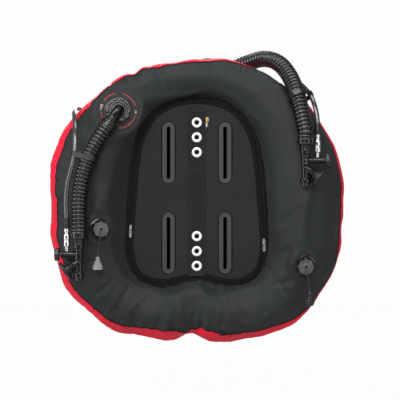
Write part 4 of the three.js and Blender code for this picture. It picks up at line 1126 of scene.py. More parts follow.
# welt in the outer seam, and rows of stitches beside it on both skins
seam_points = skin[:, SEAM_ROW] + normal[:, SEAM_ROW] * 0.15
welt_section = oval_section(1.35, 1.15)
welt = ribbon("outer_seam_welt", seam_points, normal[:, SEAM_ROW], welt_section)
piece(welt, binding_cloth, "root", sharp=0)
row_a, row_b = SEAM_ROW - 2, SEAM_ROW + 2
seam_stitches("outer_seam_stitches_black", row_a, 0.25, dark_thread, "black_cordura", pitch=3.6, length=2.5,
    thick=0.4)
seam_stitches("outer_seam_stitches_red", row_b, 0.25, red_thread, "red_nylon", pitch=3.6, length=2.5, thick=0.4)
inner_points = skin[:, 0] + np.stack([-ca, np.zeros_like(ca), -sa], -1) * 0.4
inner_up = np.stack([-ca, np.zeros_like(ca), -sa], -1)
cord_edge = ribbon("inner_seam_binding", inner_points, inner_up, oval_section(2.3, 0.9, 10))
piece(cord_edge, binding_cloth, "root", sharp=0)
seam_stitches("inner_seam_stitches", 2, 0.2, dark_thread, "black_cordura", pitch=3.4, length=2.3, thick=0.38)

# ------------------------------------------------------------------ zip band round the oval

LOOP = 720  # points round the oval
ZIP_INSET, PANEL_INSET, BINDING_INSET = 5.8, 11.9, 13.2
loop_angle = np.arange(LOOP) * 360 / LOOP
loop_c, loop_s = np.cos(np.radians(loop_angle)), np.sin(np.radians(loop_angle))
wave = hash_noise(np.stack([loop_c * 6, loop_s * 6, loop_c * 0], -1), 11)


def oval_line(offset, y, sway=0.0):
    r = oval_radius(loop_angle) + offset + sway * wave
    return np.stack([r * loop_c, np.full(LOOP, float(y)), r * loop_s], -1)


front_up = fronts(LOOP)
tape_section = rounded([(-5.3, 0.4), (6.6, 0.4), (6.6, 2.3), (3.0, 2.35), (2.4, 2.75), (-2.4, 2.75), (-3.0, 2.35),
    (-5.3, 2.2)], 0.4, True, 2)[::-1]
tape = ribbon("zip_tape", oval_line(-ZIP_INSET, 0.0, 0.4), front_up, tape_section)
piece(tape, binding_cloth, "root", "zipper_chain", sharp=35)
# a strip of tape sewn behind the zip, which closes the opening between its teeth and the panel
underlay = ribbon("zip_underlay", oval_line(-ZIP_INSET, 0.0), front_up,
    rounded([(-12, -1.7), (4, -1.7), (4, -1.0), (-12, -1.0)], 0.2, True, 2)[::-1])
piece(underlay, binding_cloth, "root", sharp=35)


def rows_of_teeth():
    line = oval_line(-ZIP_INSET, -2.75, 0.4)
    closed = looped(line)
    run = run_length(closed)
    count = int(run[-1] / 2.2)
    verts, faces = [], []
    for k in range(count):
        at = (k + 0.5) * run[-1] / count
        mid = arr([np.interp(at, run, closed[:, i]) for i in range(3)])
        ahead = arr([np.interp(min(at + 1, run[-1]), run, closed[:, i]) for i in range(3)])
        t = unit(ahead - mid)
        side = np.cross(t, FRONT)
        shift = 0.55 if k % 2 else -0.55
        base_i = len(verts)
        for up, inset in ((-0.2, 0.0), (0.4, 0.0), (0.56, 0.25)):
            for a, b in ((-1, -1), (1, -1), (1, 1), (-1, 1)):
                verts.append(mid + side * (shift + a * (2.1 - inset)) + t * b * (0.72 - inset) + arr(FRONT) * up)
        faces += side_faces(base_i, 3)
        faces.append([base_i + 8, base_i + 9, base_i + 10, base_i + 11])
    return make_object("zip_teeth", verts, faces, smooth=False)


piece(rows_of_teeth(), coil_plastic, "root", sharp=0)
# soft flap that lies in folds beside the zip
flap_n = 900
fa = np.arange(flap_n) * 360 / flap_n
fc, fs = np.cos(np.radians(fa)), np.sin(np.radians(fa))
fr = oval_radius(fa)
rows = []
for k, (off, y, size) in enumerate(((6.5, -3.0, 0.3), (6.6, -7.0, 1.2), (4.2, -10.6, 2.2), (0.8, -10.2, 2.8),
    (-1.0, -7.6, 2.4), (-0.8, -4.8, 1.2), (1.6, -3.0, 0.3))):
    q = np.stack([fc * fr / 16, np.full(flap_n, k * 0.35), fs * fr / 16], -1)
    n1, n2 = hash_noise(q, 31), hash_noise(q * (2.3, 1, 2.3), 32)
    n3 = hash_noise(q, 33)
    r = fr + off + size * (0.9 * n1 + 0.5 * n2)
    rows.append(np.stack([r * fc, y + size * 1.1 * n3, r * fs], -1))
flap = arr(rows).transpose(1, 0, 2)
run = run_length(looped(flap[:, 3]))
uv = np.zeros((flap_n + 1, 7, 2))
uv[..., 0], uv[..., 1] = run[:, None] * MM, np.arange(7)[None] * 3.2 * MM
flap_obj = grid("zip_flap", flap, True, False, uv, True)
sub = flap_obj.modifiers.new("round", "SUBSURF")
sub.levels = sub.render_levels = 1
piece(flap_obj, flap_cloth, "root", sharp=0)

closed_up = looped(front_up)
for label, offset, y in (("outer", -1.6, -2.5), ("inner", -10.1, -2.45)):
    line = oval_line(offset, y, 0.4)
    stitches(f"zip_stitches_{label}", [(looped(line), closed_up)], dark_thread, pitch=3.2, length=2.2, thick=0.34)

# ------------------------------------------------------------------ flat sewn pieces


def inside(points, loop):
    x, z = points[:, 0], points[:, 1]
    a, b = arr(loop), np.roll(arr(loop), -1, 0)
    result = np.zeros(len(points), bool)
    for (x0, z0), (x1, z1) in zip(a, b):
        if z0 == z1:
            continue
        hit = ((z0 > z) != (z1 > z)) & (x < (x1 - x0) * (z - z0) / (z1 - z0) + x0)
        result ^= hit
    return result


def flat_piece(name, outer, holes, front_y, back_y, spacing, relief=None):
    """A sewn layer in the X-Z plane with real holes, a little uneven on its front."""
    loops = [arr(outer)] + [arr(h) for h in holes]
    low, high = loops[0].min(0), loops[0].max(0)
    gx, gz = np.meshgrid(np.arange(low[0], high[0], spacing), np.arange(low[1], high[1], spacing))
    cloud = np.column_stack([gx.ravel() + spacing * 0.31, gz.ravel() + spacing * 0.17])
    keep = inside(cloud, loops[0])
    for h in loops[1:]:
        keep &= ~inside(cloud, h)
    for loop in loops:
        dist = np.min(np.linalg.norm(cloud[:, None] - loop[None], axis=-1),
            axis=1) if len(cloud) * len(loop) < 2e7 else np.full(len(cloud), 99)
        keep &= dist > spacing * 0.45
    cloud = cloud[keep]
    points, edges = [], []
    for loop in loops:
        start = len(points)
        points += loop.tolist()
        edges += [(start + k, start + (k + 1) % len(loop)) for k in range(len(loop))]
    points += cloud.tolist()
    out = geometry.delaunay_2d_cdt([Vector(p) for p in points], edges, [], 0, 1e-4)
    v2 = arr([list(v) for v in out[0]])
    tris = arr([list(f) for f in out[2]]).astype(int)
    mid = v2[tris].mean(1)
    ok = inside(mid, loops[0])
    for h in loops[1:]:
        ok &= ~inside(mid, h)
    tris = tris[ok]
    a, b, c = v2[tris[:, 0]], v2[tris[:, 1]], v2[tris[:, 2]]
    turn = (b - a)[:, 0] * (c - a)[:, 1] - (b - a)[:, 1] * (c - a)[:, 0]
    tris = np.where(turn[:, None] > 0, tris, tris[:, ::-1])
    used = {}
    for t in tris.tolist():
        for e in ((t[0], t[1]), (t[1], t[2]), (t[2], t[0])):
            used[e] = True
    border = [e for e in used if (e[1], e[0]) not in used]
    n = len(v2)
    height = relief(v2) if relief is not None else np.zeros(n)
    edge_ids = {i for e in border for i in e}
    ease = np.zeros(n)
    ease[list(edge_ids)] = 0.5
    front = np.column_stack([v2[:, 0], front_y - height + ease, v2[:, 1]])
    back = np.column_stack([v2[:, 0], np.full(n, back_y), v2[:, 1]])
    verts = np.vstack([front, back])
    faces = tris.tolist() + [[t[2] + n, t[1] + n, t[0] + n] for t in tris.tolist()]
    faces += [[e[1], e[0], e[0] + n, e[1] + n] for e in border]
    flat = verts[:, [0, 2]] * MM
    uv = [flat[i] for f in faces for i in f]
    return make_object(name, verts, faces, uv)


SPINE_HALF, SPINE_LOW, SPINE_HIGH = 20, -202, 211
SLOT_X, SLOT_Z = 69.5, (102, -120)
BOLTS = sorted([r * sign for r in (103, 139.7, 176) for sign in (1, -1)], reverse=True)


def stadium(cx, cz, width, height, n=10):
    r = width / 2
    pts = []
    for a in np.linspace(0, 180, n):
        pts.append([cx + r * math.cos(math.radians(a)), cz + height / 2 - r + r * math.sin(math.radians(a))])
    for a in np.linspace(180, 360, n):
        pts.append([cx + r * math.cos(math.radians(a)), cz - height / 2 + r + r * math.sin(math.radians(a))])
    return arr(pts)


def dense(loop, step, closed=True):
    loop = arr(loop)
    p = looped(loop) if closed else loop
    run = run_length(p)
    n = max(int(run[-1] / step), 4)
    at = np.linspace(0, run[-1], n + 1)[: n if closed else n + 1]
    return np.stack([np.interp(at, run, p[:, i]) for i in range(p.shape[1])], -1)


def panel_relief(v):
    x, z = v[:, 0], v[:, 1]
    h = 0.55 * hash_noise(np.column_stack([x / 70, x * 0, z / 90]),
        21) + 0.22 * hash_noise(np.column_stack([x / 24, x * 0, z / 30]), 22)
    for seam_x in (-24, 24):
        h -= 0.5 * np.exp(-((x - seam_x) / 1.6) ** 2)
    for cz in SLOT_Z:
        for sx in (-SLOT_X, SLOT_X):
            dx, dz = np.abs(x - sx), np.maximum(np.abs(z - cz) - 58, 0)
            d = np.hypot(dx, dz)
            h -= 0.7 * np.exp(-((d - 19.2) / 1.5) ** 2)
            h += 0.35 * np.exp(-((d - 24) / 3.5) ** 2)
    for cz in (66, -66):
        h -= 0.45 * np.exp(-((z - cz) / 1.4) ** 2) * (np.abs(x) < 44)
    return np.minimum(h, 0.9)


turn = np.radians(np.arange(360))
panel_r = oval_radius(np.arange(360)) - PANEL_INSET
panel_loop = dense(np.stack([panel_r * np.cos(turn), panel_r * np.sin(turn)], -1), 3.5)
slot_holes = [stadium(sx, cz, 8.2, 130.2) for cz in SLOT_Z for sx in (-SLOT_X, SLOT_X)]
bolt_holes = [arr([[7.2 * math.cos(t),
    z + 7.2 * math.sin(t)] for t in np.arange(20) * math.pi / 10]) for z in BOLTS]
panel = flat_piece("center_panel_cloth", panel_loop, slot_holes + bolt_holes, -3.0, -0.1, 4.2, panel_relief)
piece(panel, panel_cloth, "root", "center_panel", sharp=40)

# bound edge of the panel
edge_line = np.stack([(oval_radius(loop_angle) - BINDING_INSET) * loop_c, np.full(LOOP, -3.0),
    (oval_radius(loop_angle) - BINDING_INSET) * loop_s], -1)
edge_line[:, 1] -= 0.3
bind = ribbon("panel_edge_binding", edge_line, front_up,
    rounded([(-3.4, -0.3), (1.4, -0.3), (1.4, 0.3), (0.6, 0.8), (-2.6, 0.8), (-3.4, 0.3)], 0.3, True, 2)[::-1])
piece(bind, binding_cloth, "root", sharp=0)
stitch_line = edge_line + (0, -0.75, 0)
stitches("panel_edge_stitches", [(looped(stitch_line), closed_up)], grey_thread, slot="panel_cordura", pitch=3.8,
    length=2.0, thick=0.32)

# spine strap with its sewn ends
spine_loop = dense([[-SPINE_HALF, SPINE_LOW], [SPINE_HALF, SPINE_LOW], [SPINE_HALF, SPINE_HIGH],
    [-SPINE_HALF, SPINE_HIGH]], 3.4)


def spine_relief(v):
    x, z = v[:, 0], v[:, 1]
    h = 0.18 * hash_noise(np.column_stack([x / 20, x * 0, z / 55]), 23)
    h -= 0.35 * np.exp(-((np.abs(x) - 16.4) / 0.9) ** 2)
    for cz in (66, -66, 200, -192):
        h -= 0.35 * np.exp(-((z - cz) / 0.9) ** 2)
    return h


spine = flat_piece("spine_strap_web", spine_loop, bolt_holes, -5.9, -3.6, 2.6, spine_relief)
piece(spine, webbing, "root", "spine_strap", sharp=40)


def straight(x0, z0, x1, z1, y, step=2.0):
    n = max(int(math.hypot(x1 - x0, z1 - z0) / step), 2)
    t = np.linspace(0, 1, n)
    return np.column_stack([x0 + (x1 - x0) * t, np.full(n, float(y)), z0 + (z1 - z0) * t]), fronts(n)


runs = [straight(sx, SPINE_LOW + 3, sx, SPINE_HIGH - 3, -5.95) for sx in (-16.4, 16.4)]
for z in (66, 63, -66, -63, 202, 197, -189, -194):
    runs.append(straight(-15.5, z, 15.5, z, -5.95))
stitches("spine_stitches", runs, grey_thread, pitch=4.4, length=2.3, thick=0.3)
runs = []
for x in (-45, 46):
    runs.append(straight(x, -186, x, 40, -3.55))
for z in (66, -66):
    runs.append(straight(-43, z, -22, z, -3.2))
    runs.append(straight(22, z, 44, z, -3.2))
runs.append(straight(-96, -22, -24, -22, -3.5))
stitches("panel_stitches", runs, dark_thread, slot="panel_cordura", pitch=4.4, length=2.3, thick=0.3)

# end patches where the spine strap is turned under
for label, z in (("top", 205.5), ("bottom", -196.5)):
    m = placed((0, -6.35, z), FRONT, ACROSS)
    o = prism(f"spine_end_{label}", round_rect(39, 9, 0.8, 3), m, -0.4, 0.7, 0.3)
    piece(o, panel_cloth, "root", sharp=35)

# ------------------------------------------------------------------ slot frames, lips and grommets

for row, cz in (("upper", SLOT_Z[0]), ("lower", SLOT_Z[1])):
    for side, sx in (("left", -SLOT_X), ("right", SLOT_X)):
        mid = dense(stadium(sx, cz, 19.6, 139.3, 16), 2.2)
        path = upright(mid)
        up = fronts(len(mid))
        section = rounded([(-5.55, 0.1), (5.75, 0.1), (5.75, 3.9), (4.6, 4.35), (1.8, 4.0), (-1.8, 4.0),
            (-4.4, 4.3), (-5.55, 3.7)], 0.5, True, 3)[::-1]
        o = ribbon(f"slot_frame_shell_{row}_{side}", path, up, section)
        piece(o, grey_plastic, "root", f"slot_frame_{row}_{side}", sharp=50)
        ring = dense(stadium(sx, cz, 38.5, 155, 16), 2.0)
        line = upright(ring, -3.05)
        line = looped(line)
        stitches(f"slot_stitches_{row}_{side}", [(line, fronts(len(line)))], dark_thread, slot="panel_cordura",
            pitch=3.4, length=2.2, thick=0.34)
        trim = dense(stadium(sx, cz, 33.6, 151, 16), 2.2)
        path = upright(trim, -3.2)
        o = ribbon(f"slot_trim_{row}_{side}", path, fronts(len(trim)), oval_section(1.3, 0.75)[::-1])
        piece(o, binding_cloth, "root", sharp=0)
        # cloth lips across the slot; their near-black colour with no reflection is painted shade of the opening
        lips = []
        for sign in (-1, 1):
            full = stadium(0, 0, 9.0, 131, 12)
            half = full[full[:, 0] * sign > 0.2]
            ends = arr([[-0.5 * sign, 65.3], [-0.5 * sign, -65.3]])
            half = half[np.argsort(np.arctan2(half[:, 1], half[:, 0] * sign))]
            outline = np.vstack([ends[1:], half if sign > 0 else half, ends[:1]])
            lips.append(prism("lip", outline, placed((sx, -1.2 - 0.55 * sign, cz), FRONT, ACROSS), -0.45, 0.45,
                0.1))
        o = join(f"slot_lips_{row}_{side}", lips)
        piece(o, painted_shade_black, "root", sharp=40)

for k, z in enumerate(BOLTS):
    m = placed((0, 0, z), FRONT, ACROSS)
    profile = [(5.7, 0.0), (7.0, 0.0), (7.0, 6.2), (12.3, 6.3), (12.5, 6.7), (11.6, 7.5), (9.8, 7.95), (7.6, 7.75),
        (6.1, 6.9), (5.7, 5.6)]
    o = lathe(f"grommet_ring_{k + 1}", profile, m, 40, 0.35, closed=True)
    piece(o, nickel, "root", f"grommet_{k + 1}", sharp=50)
    o = lathe(f"grommet_lining_{k + 1}", [(0, 2.6), (3.0, 2.7), (5.65, 3.3), (5.65, 2.3), (0, 1.7)], m, 24, 0.2)
    piece(o, binding_cloth, "root", sharp=40)

# small woven tag beside the top grommet, in plain blocks of colour
for label, dx, dz, w, h, mat in (("back", 0, 0, 11.5, 26, tag_cloth),
    ("yellow", -3.0, 6.6, 4.4, 10.5, yellow_cloth), ("white", -3.4, -6.0, 3.6, 11.5, white_cloth),
    ("band", 0.6, 6.6, 1.6, 9, white_cloth)):
    lift_by = 0.0 if label == "back" else 0.45
    m = placed((27.5 + dx, -3.9 - lift_by, 177 + dz), FRONT, ACROSS)
    o = prism(f"side_tag_{label}", round_rect(w, h, 0.5, 3), m, -0.3, 0.5, 0.15)
    piece(o, mat, "root", sharp=35)

# ------------------------------------------------------------------ elbows, lock rings and port flanges


def bezier(points, count):
    p = arr(points)
    t = np.linspace(0, 1, count)[:, None]
    return (1 - t) ** 3 * p[0] + 3 * t * (1 - t) ** 2 * p[1] + 3 * t * t * (1 - t) * p[2] + t ** 3 * p[3]


def scallops(count, depth, low_z, high_z, share, least_r):
    """Grooves round a ring's outside, deepest between two heights."""
    def shape(r, z, turn):
        if r < least_r or z < low_z or z > high_z:
            return r
        x = (turn * count / (2 * math.pi)) % 1.0
        edge = min(max((share / 2 - abs(x - 0.5)) / 0.05, 0), 1)
        return r - depth * edge * edge * (3 - 2 * edge)
    return shape


CLAMP_BAND = [(18.6, -3.4), (19.6, -3.4), (19.9, -2.6), (19.9, 2.6), (19.6, 3.4), (18.6, 3.4)]
PORT_HEIGHT = {"left": 33.6, "right": 42.7}
LEAVE = {"left": unit((-0.56, -0.10, -0.82)), "right": unit((0.91, -0.08, 0.40))}

for s in SIDES:
    c, n, _, _ = STAGES[f"port_{s}"]
    ref = ACROSS
    m = placed(c, n, ref)
    # flange: a stepped ring welded to the bladder
    profile = [(13, 0.2), (33.6, 0.0), (34, 1.2), (33.4, 2.6), (31.6, 3.0), (31.2, 5.0), (13, 5.0)]
    o = lathe(f"port_flange_ring_{s}", profile, m, 72, 0.5, closed=True)
    piece(o, matt_plastic, "root", f"port_flange_{s}")
    patch = [(30, -1.4), (49.6, -1.4), (50, -0.2), (49.0, 0.9), (34, 1.1), (30, 1.1)]
    o = lathe(f"port_patch_{s}", patch, m, 96, 0.4, closed=True)
    piece(o, black_cloth, "root")
    ring = arr([[47.2 * math.cos(t), 47.2 * math.sin(t), 1.05] for t in np.linspace(0, 2 * math.pi, 140)])
    stitches(f"port_patch_stitches_{s}", [(apply(m, ring), np.tile(n, (140, 1)))], dark_thread,
        slot="black_cordura", pitch=3.2, length=2.1, thick=0.34)
    # lock ring with finger notches
    body_profile = [(18.8, 5.3), (30.4, 5.3), (31, 6.2), (31, 10.6), (29.8, 12.0), (26.0, 12.3), (24.8, 11.5),
        (22.6, 11.3), (21.4, 12.1), (18.8, 12.3)]
    o = lathe(f"lock_ring_knob_{s}", body_profile, m, 120, 0.45, shape=scallops(10, 3.0, 5.0, 13.0, 0.36, 24),
        closed=True)
    piece(o, plastic, "root", f"lock_ring_{s}", sharp=45)
    # elbow: foot, bend and the socket that the hose is clamped on
    end = AIR_ROUTE[s][0] + LEAVE[s] * -0.3
    h = PORT_HEIGHT[s]
    foot = c + n * 7.3
    rise = foot + n * 0.62 * (h - 7.3)
    reach = end - LEAVE[s] * 0.62 * (h - 7.3)
    line = bezier((foot, rise, reach, end), 44)
    run = np.linalg.norm(line - foot, axis=1)
    to_end = np.linalg.norm(line - end, axis=1)
    r = np.full(len(line), 13.0)
    r += 1.8 * np.exp(-(run / 6.0) ** 2)
    for at in (4.0, 9.5):
        r += 0.9 * np.exp(-((to_end - at) / 1.1) ** 2)
    o1 = sweep("elbow_tube", line, r, 36, cap=True)
    o2 = lathe("elbow_foot", [(12.6, 5.3), (17.6, 5.3), (17.6, 10.6), (16.6, 12.3), (12.6, 12.6)], m, 48, 0.5,
        closed=True)
    o = join(f"elbow_tube_{s}", [o1, o2])
    piece(o, plastic, "root", f"elbow_{s}", sharp=45)
    # clamp band on the hose's first cuff
    t0 = unit(air_line[s][8] - air_line[s][2])
    at = air_line[s][6]
    mm = placed(at, t0, n)
    band = lathe("band", CLAMP_BAND, mm, 60, 0.25, closed=True)
    lug = prism("lug", round_rect(7, 6.2, 1.2, 4), placed(at + apply(mm, [[19.6, 0, 0]])[0] - mm[:3, 3], mm[:3, 0],
        t0), -0.8, 2.4, 0.5)
    o = join(f"elbow_clamp_{s}", [band, lug])
    piece(o, plastic, "root", sharp=45)

# the printed ring round the left elbow, as plain marks with no lettering
c, n, _, _ = STAGES["port_left"]
m = placed(c, n, ACROSS)
marks = {"red": [], "pale": []}


def arc_mark(r0, r1, a0, a1, z=1.25, steps=5):
    verts, faces = [], []
    for k in range(steps + 1):
        t = math.radians(a0 + (a1 - a0) * k / steps)
        for r, zz in ((r0, z - 0.4), (r0, z), (r1, z), (r1, z - 0.4)):
            verts.append([r * math.cos(t), r * math.sin(t), zz])
    for k in range(steps):
        for j in range(3):
            a = k * 4 + j
            faces.append([a, a + 4, a + 5, a + 1])
    return verts, faces


def add_mark(group, *args, **options):
    marks[group].append(arc_mark(*args, **options))


def bar_run(a0, a1, r0, r1, sizes):
    """A run of short plain bars of differing width."""
    at, k = a0, 0
    while at < a1:
        w = sizes[k % len(sizes)]
        add_mark("red", r0 + 0.5 * (k % 3 == 1), r1 - 0.7 * (k % 4 == 2), at, min(at + w, a1), steps=2)
        at += w + 2.0
        k += 1


bar_run(18, 76, 40.6, 43.4, (3.2, 1.8, 2.6, 1.6))
bar_run(102, 148, 40.6, 43.6, (3.4, 2.2, 1.8, 2.8))
bar_run(188, 226, 40.6, 43.2, (2.8, 1.8, 2.2))
bar_run(272, 344, 40.6, 43.4, (2.4, 3.0, 1.6, 2.2))
for start, w, r0, r1 in ((160, 5, 38.4, 45.2), (168, 4, 39.6, 44.6), (174.5, 3, 40.4, 44), (352, 4, 39.4, 44.4),
    (358, 3, 39.8, 43.8)):
    add_mark("pale", r0, r1, start, start + w, steps=3)
for label, mat in (("red", red_paint), ("pale", white_paint)):
    verts, faces = [], []
    for v, f in marks[label]:
        faces += [[i + len(verts) for i in q] for q in f]
        verts += v
    o = make_object(f"port_print_{label}", apply(m, verts), faces)
    piece(o, mat, "root", sharp=30)

# ------------------------------------------------------------------ dump valves and their pulls

for s in SIDES:
    c, n, _, _ = STAGES[f"dump_{s}"]
    m = placed(c, n, ACROSS)
    profile = [(9, 0.2), (26.4, 0.0), (27, 0.8), (27, 3.6), (26.2, 5.0), (23.5, 5.7), (22.6, 6.0), (13, 6.0),
        (13, 3.0), (9, 3.0)]
    o = lathe(f"dump_base_ring_{s}", profile, m, 72, 0.4, closed=True)
    piece(o, plastic, "root", f"dump_base_{s}")
    patch = [(24, -1.2), (28.4, -1.2), (28.8, -0.6), (28.0, 0.3), (27.4, 0.5), (24, 0.6)]
    o = lathe(f"dump_patch_{s}", patch, m, 72, 0.3, closed=True)
    piece(o, black_cloth, "root")

    profile = [(18.6, 6.3), (22.4, 6.3), (22.4, 12.8), (21.9, 14.6), (20.8, 15.8), (19.8, 16.3), (18.6, 16.3)]
    o = lathe(f"dump_cap_crown_{s}", profile, m, 112, 0.4, shape=scallops(8, 2.4, 8.0, 99, 0.48, 19.5), closed=True)
    piece(o, plastic, "root", f"dump_cap_{s}", sharp=45)
    # face disc with small vents drawn as near-black patches of painted shade, and raised lugs on the crown
    disc = lathe(f"dump_disc_{s}", [(3.2, 14.0), (18.4, 14.0), (18.8, 14.6), (18.4, 15.4), (17.2, 15.7),
        (8.0, 15.9), (6.2, 16.9), (4.2, 17.2), (3.2, 16.8)], m, 64, 0.25, closed=True)
    piece(disc, disc_plastic, "root")
    vents, lugs = [], []
    for k in range(6):
        axis_x = spoke(m, k * 60 + 12)
        at = c + n * 15.85 + axis_x * 13.2
        vents.append(prism("vent", round_rect(1.5, 3.0, 0.7, 4), placed(at, n, axis_x), -0.3, 0.12, 0.05))
    for k in range(4):
        axis_x = spoke(m, k * 90 + 45)
        at = c + n * 15.9 + axis_x * 20.6
        lugs.append(prism("lug", round_rect(2.2, 6.4, 0.9, 4), placed(at, n, axis_x), -0.5, 0.9, 0.35))
    piece(join(f"dump_vents_{s}", vents), painted_shade_black, "root", sharp=35)
    piece(join(f"dump_lugs_{s}", lugs), plastic, "root", sharp=35)
    # spring, poppet and its stem
    turns = np.linspace(0, 3.0 * 2 * math.pi, 150)
    h = 5.9 + np.linspace(0, 1, 150) * 7.4
    wire = np.column_stack([7 * np.cos(turns), 7 * np.sin(turns), h])
    o = sweep(f"dump_spring_wire_{s}", apply(m, wire), 0.45, 10, cap=True)
    piece(o, steel, "root", f"dump_spring_{s}", sharp=0)
    profile = [(0, 3.3), (11.6, 3.3), (12, 3.7), (12, 4.9), (11.4, 5.3), (3.4, 5.4), (2.6, 6.4), (2.5, 16.8),
        (2.1, 17.3), (0, 17.3)]
    o = lathe(f"dump_poppet_disc_{s}", profile, m, 40, 0.25)
    piece(o, rubber, f"dump_poppet_{s}", f"dump_poppet_{s}")
    # a ribbed knob on the cord's end: a bell on the left, rounder on the right; both are black plastic, and the
    # left one's pale grey colour is a painted reflection
    at = pull_line[s][-1] + (0, 0, -0.3)
    km = placed(at, UP, ACROSS)
    steps = [(0, 0.0), (4.2, 0.0), (4.9, -0.8), (5.2, -3.6), (4.2, -4.6), (3.9, -6.0), (5.4, -7.8)]
    for k in range(5):
        z = -9.4 - k * 3.1
        r = 6.6 + 1.32 * k if s == "left" else (8.6, 10.8, 11.8, 12.0, 11.2)[k]
        steps += [(r - 0.4, z + 0.6), (r + 0.55, z - 0.3), (r + 0.7, z - 1.5), (r - 0.2, z - 2.2)]
    steps += [(12.3, -25.6), (12.5, -27.4), (11.9, -29.2), (10.4, -30.0), (4.5, -29.4),
        (0, -29.2)] if s == "left" else [(10.6, -25.6), (9.8, -27.4), (8.4, -28.9), (6.4, -29.8), (3.5, -30.0),
        (0, -30.0)]

    def fluted(r, z, turn):
        if r < 6.5 or z < -28.6:
            return r
        return r - 1.15 * (0.5 + 0.5 * math.cos(turn * 10)) ** 2

    knob = lathe(f"pull_knob_bell_{s}", steps, km, 80, 0.35, shape=fluted)
    piece(knob, painted_reflection_plastic if s == "left" else matt_plastic, f"dump_poppet_{s}", f"pull_knob_{s}",
        sharp=50)
    tie = lathe(f"pull_cord_knot_{s}", [(0.4, -0.6), (2.1, -0.2), (2.6, 1.2), (2.2, 2.8), (1.3, 3.8), (0.4, 4.0)],
        km, 20, 0.5)
    piece(tie, grey_thread, f"dump_poppet_{s}", sharp=0)

# ------------------------------------------------------------------ inflators

for s in SIDES:
    end = arr(AIR_ROUTE[s][-1])
    g = np.eye(4)
    if s == "left":
        g[0, 0] = g[1, 1] = -1
    g[:3, 3] = end

    def local(origin, axis, ref=ACROSS, g=g):
        return g @ placed(origin, axis, ref)

    column = local((0, 0, 0), UP)
    # cuff and collar, ribbed, then the barrel of the upper body
    profile = [(0, -0.3), (13.2, -0.3), (14, -1.2), (14, -3.6), (13.2, -4.4), (13.2, -6.0), (14, -6.8), (14, -9.0),
        (13.2, -9.8), (13.2, -11.2), (13.9, -12.2), (13.4, -14),
               (12.6, -14.6), (13, -16.0), (13, -24.6), (12.2, -26), (10.5, -26.4), (10.5, -29.5), (11.0, -30.2),
               (11.0, -32.0), (10.5, -32.7), (10.5, -52.2), (9.9, -53),
               (7.5, -53.4), (7.5, -56.6), (8.2, -57), (8.5, -58.0), (8.5, -81.6), (9.4, -83), (12.0, -84.2),
               (12.5, -85.4), (12.5, -92.6), (11.9, -94), (9.2, -94), (9.2, -85.0), (0, -85.0)]
    parts = [lathe("barrel", profile, column, 56, 0.45)]
    # arm that carries the inflate button
    arm = local((0, 0, -40), ACROSS, UP)
    parts.append(lathe("arm", [(0, 2), (7, 2), (7, 12), (7.6, 12.8), (7.6, 15.4), (7, 16.2), (7, 37.6), (8.6, 38.6),
        (9.5, 39.8), (9.5, 42.0), (9.0, 42.5), (4.3, 42.5), (4.3, 30)], arm, 44, 0.4))
    # slanting neck to the mouthpiece
    d = unit((0.80, 0, -0.60))
    neck_m = local((0, 0, -56), d, (0.6, 0, 0.8))
    parts.append(lathe("neck", [(0, 2), (9.5, 2), (9.5, 11), (10.0, 11.8), (10.0, 13.6), (9.5, 14.4), (9.5, 31.4),
        (8.9, 33.6), (6.3, 34), (6.0, 33), (6.0, 18), (0, 18)], neck_m, 44, 0.4))
    # web between barrel, arm and neck, with a raised rim
    outline = arr([(5, -44), (33, -44), (33, -50), (21, -62), (5, -60)])
    wm = local((0, 0, 0), FRONT, ACROSS)
    parts.append(prism("web", rounded(outline, 2.4, True, 4), wm, -2.5, 2.5, 0.6))
    inner = outline.mean(0) + (outline - outline.mean(0)) * 0.72
    parts.append(prism("web_pad", rounded(inner, 2.0, True, 4), wm, -3.1, 3.1, 0.5))
    # plain oblong boss, and the strap slot lug on the back of the barrel
    parts.append(prism("boss", round_rect(8, 17, 2.2, 5), local((0, -9.4, -43), FRONT, ACROSS), -1.0, 2.0, 0.6))
    parts.append(prism("boss_back", round_rect(8, 13, 2.2, 5), local((0, 9.4, -43), (0, 1, 0), ACROSS), -1.0, 1.6,
        0.6))
    body_obj = join(f"inflator_shell_{s}", parts)
    piece(body_obj, plastic, "root", f"inflator_body_{s}", sharp=42)
    screws = []
    for z in (-47.2, -38.8):
        screws.append(lathe("screw", [(0, 0.9), (0.7, 0.9), (0.9, 1.25), (1.5, 1.3), (1.75, 0.9), (1.75, 0)],
            local((0, -11.2, z), FRONT, ACROSS), 16, 0.1))
    screw_obj = join(f"inflator_screws_{s}", screws)
    piece(screw_obj, grey_metal, "root", sharp=45)
    # mouthpiece: sleeve, oval flange and bite lugs
    rings = []
    spec = [(12.5, 12.5, 26.2), (12.5, 12.5, 27.4), (12.2, 12.2, 30), (12.5, 12.5, 31), (12.5, 12.5, 33.4),
        (13.6, 12.7, 35), (19.5, 13.6, 36.0), (24.0, 14.6, 36.8), (25, 15, 38.6), (24.8, 14.8, 41.0),
        (23.2, 13.9, 42.6), (19.5, 11.9, 43.6), (14.2, 8.8, 44.0), (11.8, 7.0, 43.4), (11.5, 6.6, 41.6),
        (11.0, 6.4, 34.6), (9.9, 9.9, 34.2), (9.8, 9.8, 27), (10.4, 10.4, 26.2)]
    turn = np.arange(56) * 2 * math.pi / 56
    # the long way of the flange lies in the plane of the arm and barrel
    for rx, ry, z in spec:
        rings.append(np.column_stack([rx * np.cos(turn), ry * np.sin(turn), np.full(56, z)]))
    rings.append(rings[0].copy())
    rings = arr(rings)
    mouth_m = local((0, 0, -56), d, (0.6, 0, 0.8))
    mouth = loft(f"mouthpiece_flange_{s}", apply(mouth_m, rings.reshape(-1, 3)).reshape(rings.shape), False,
        flip=True)
    piece(mouth, rubber, "root", f"mouthpiece_{s}", sharp=55)
    tie = lathe(f"mouthpiece_tie_{s}", [(12.3, 28.2), (13.1, 28.2), (13.3, 28.6), (13.3, 30.6), (13.1, 31.0),
        (12.3, 31.0)], mouth_m, 44, 0.2, closed=True)
    piece(tie, matt_plastic, "root", sharp=45)
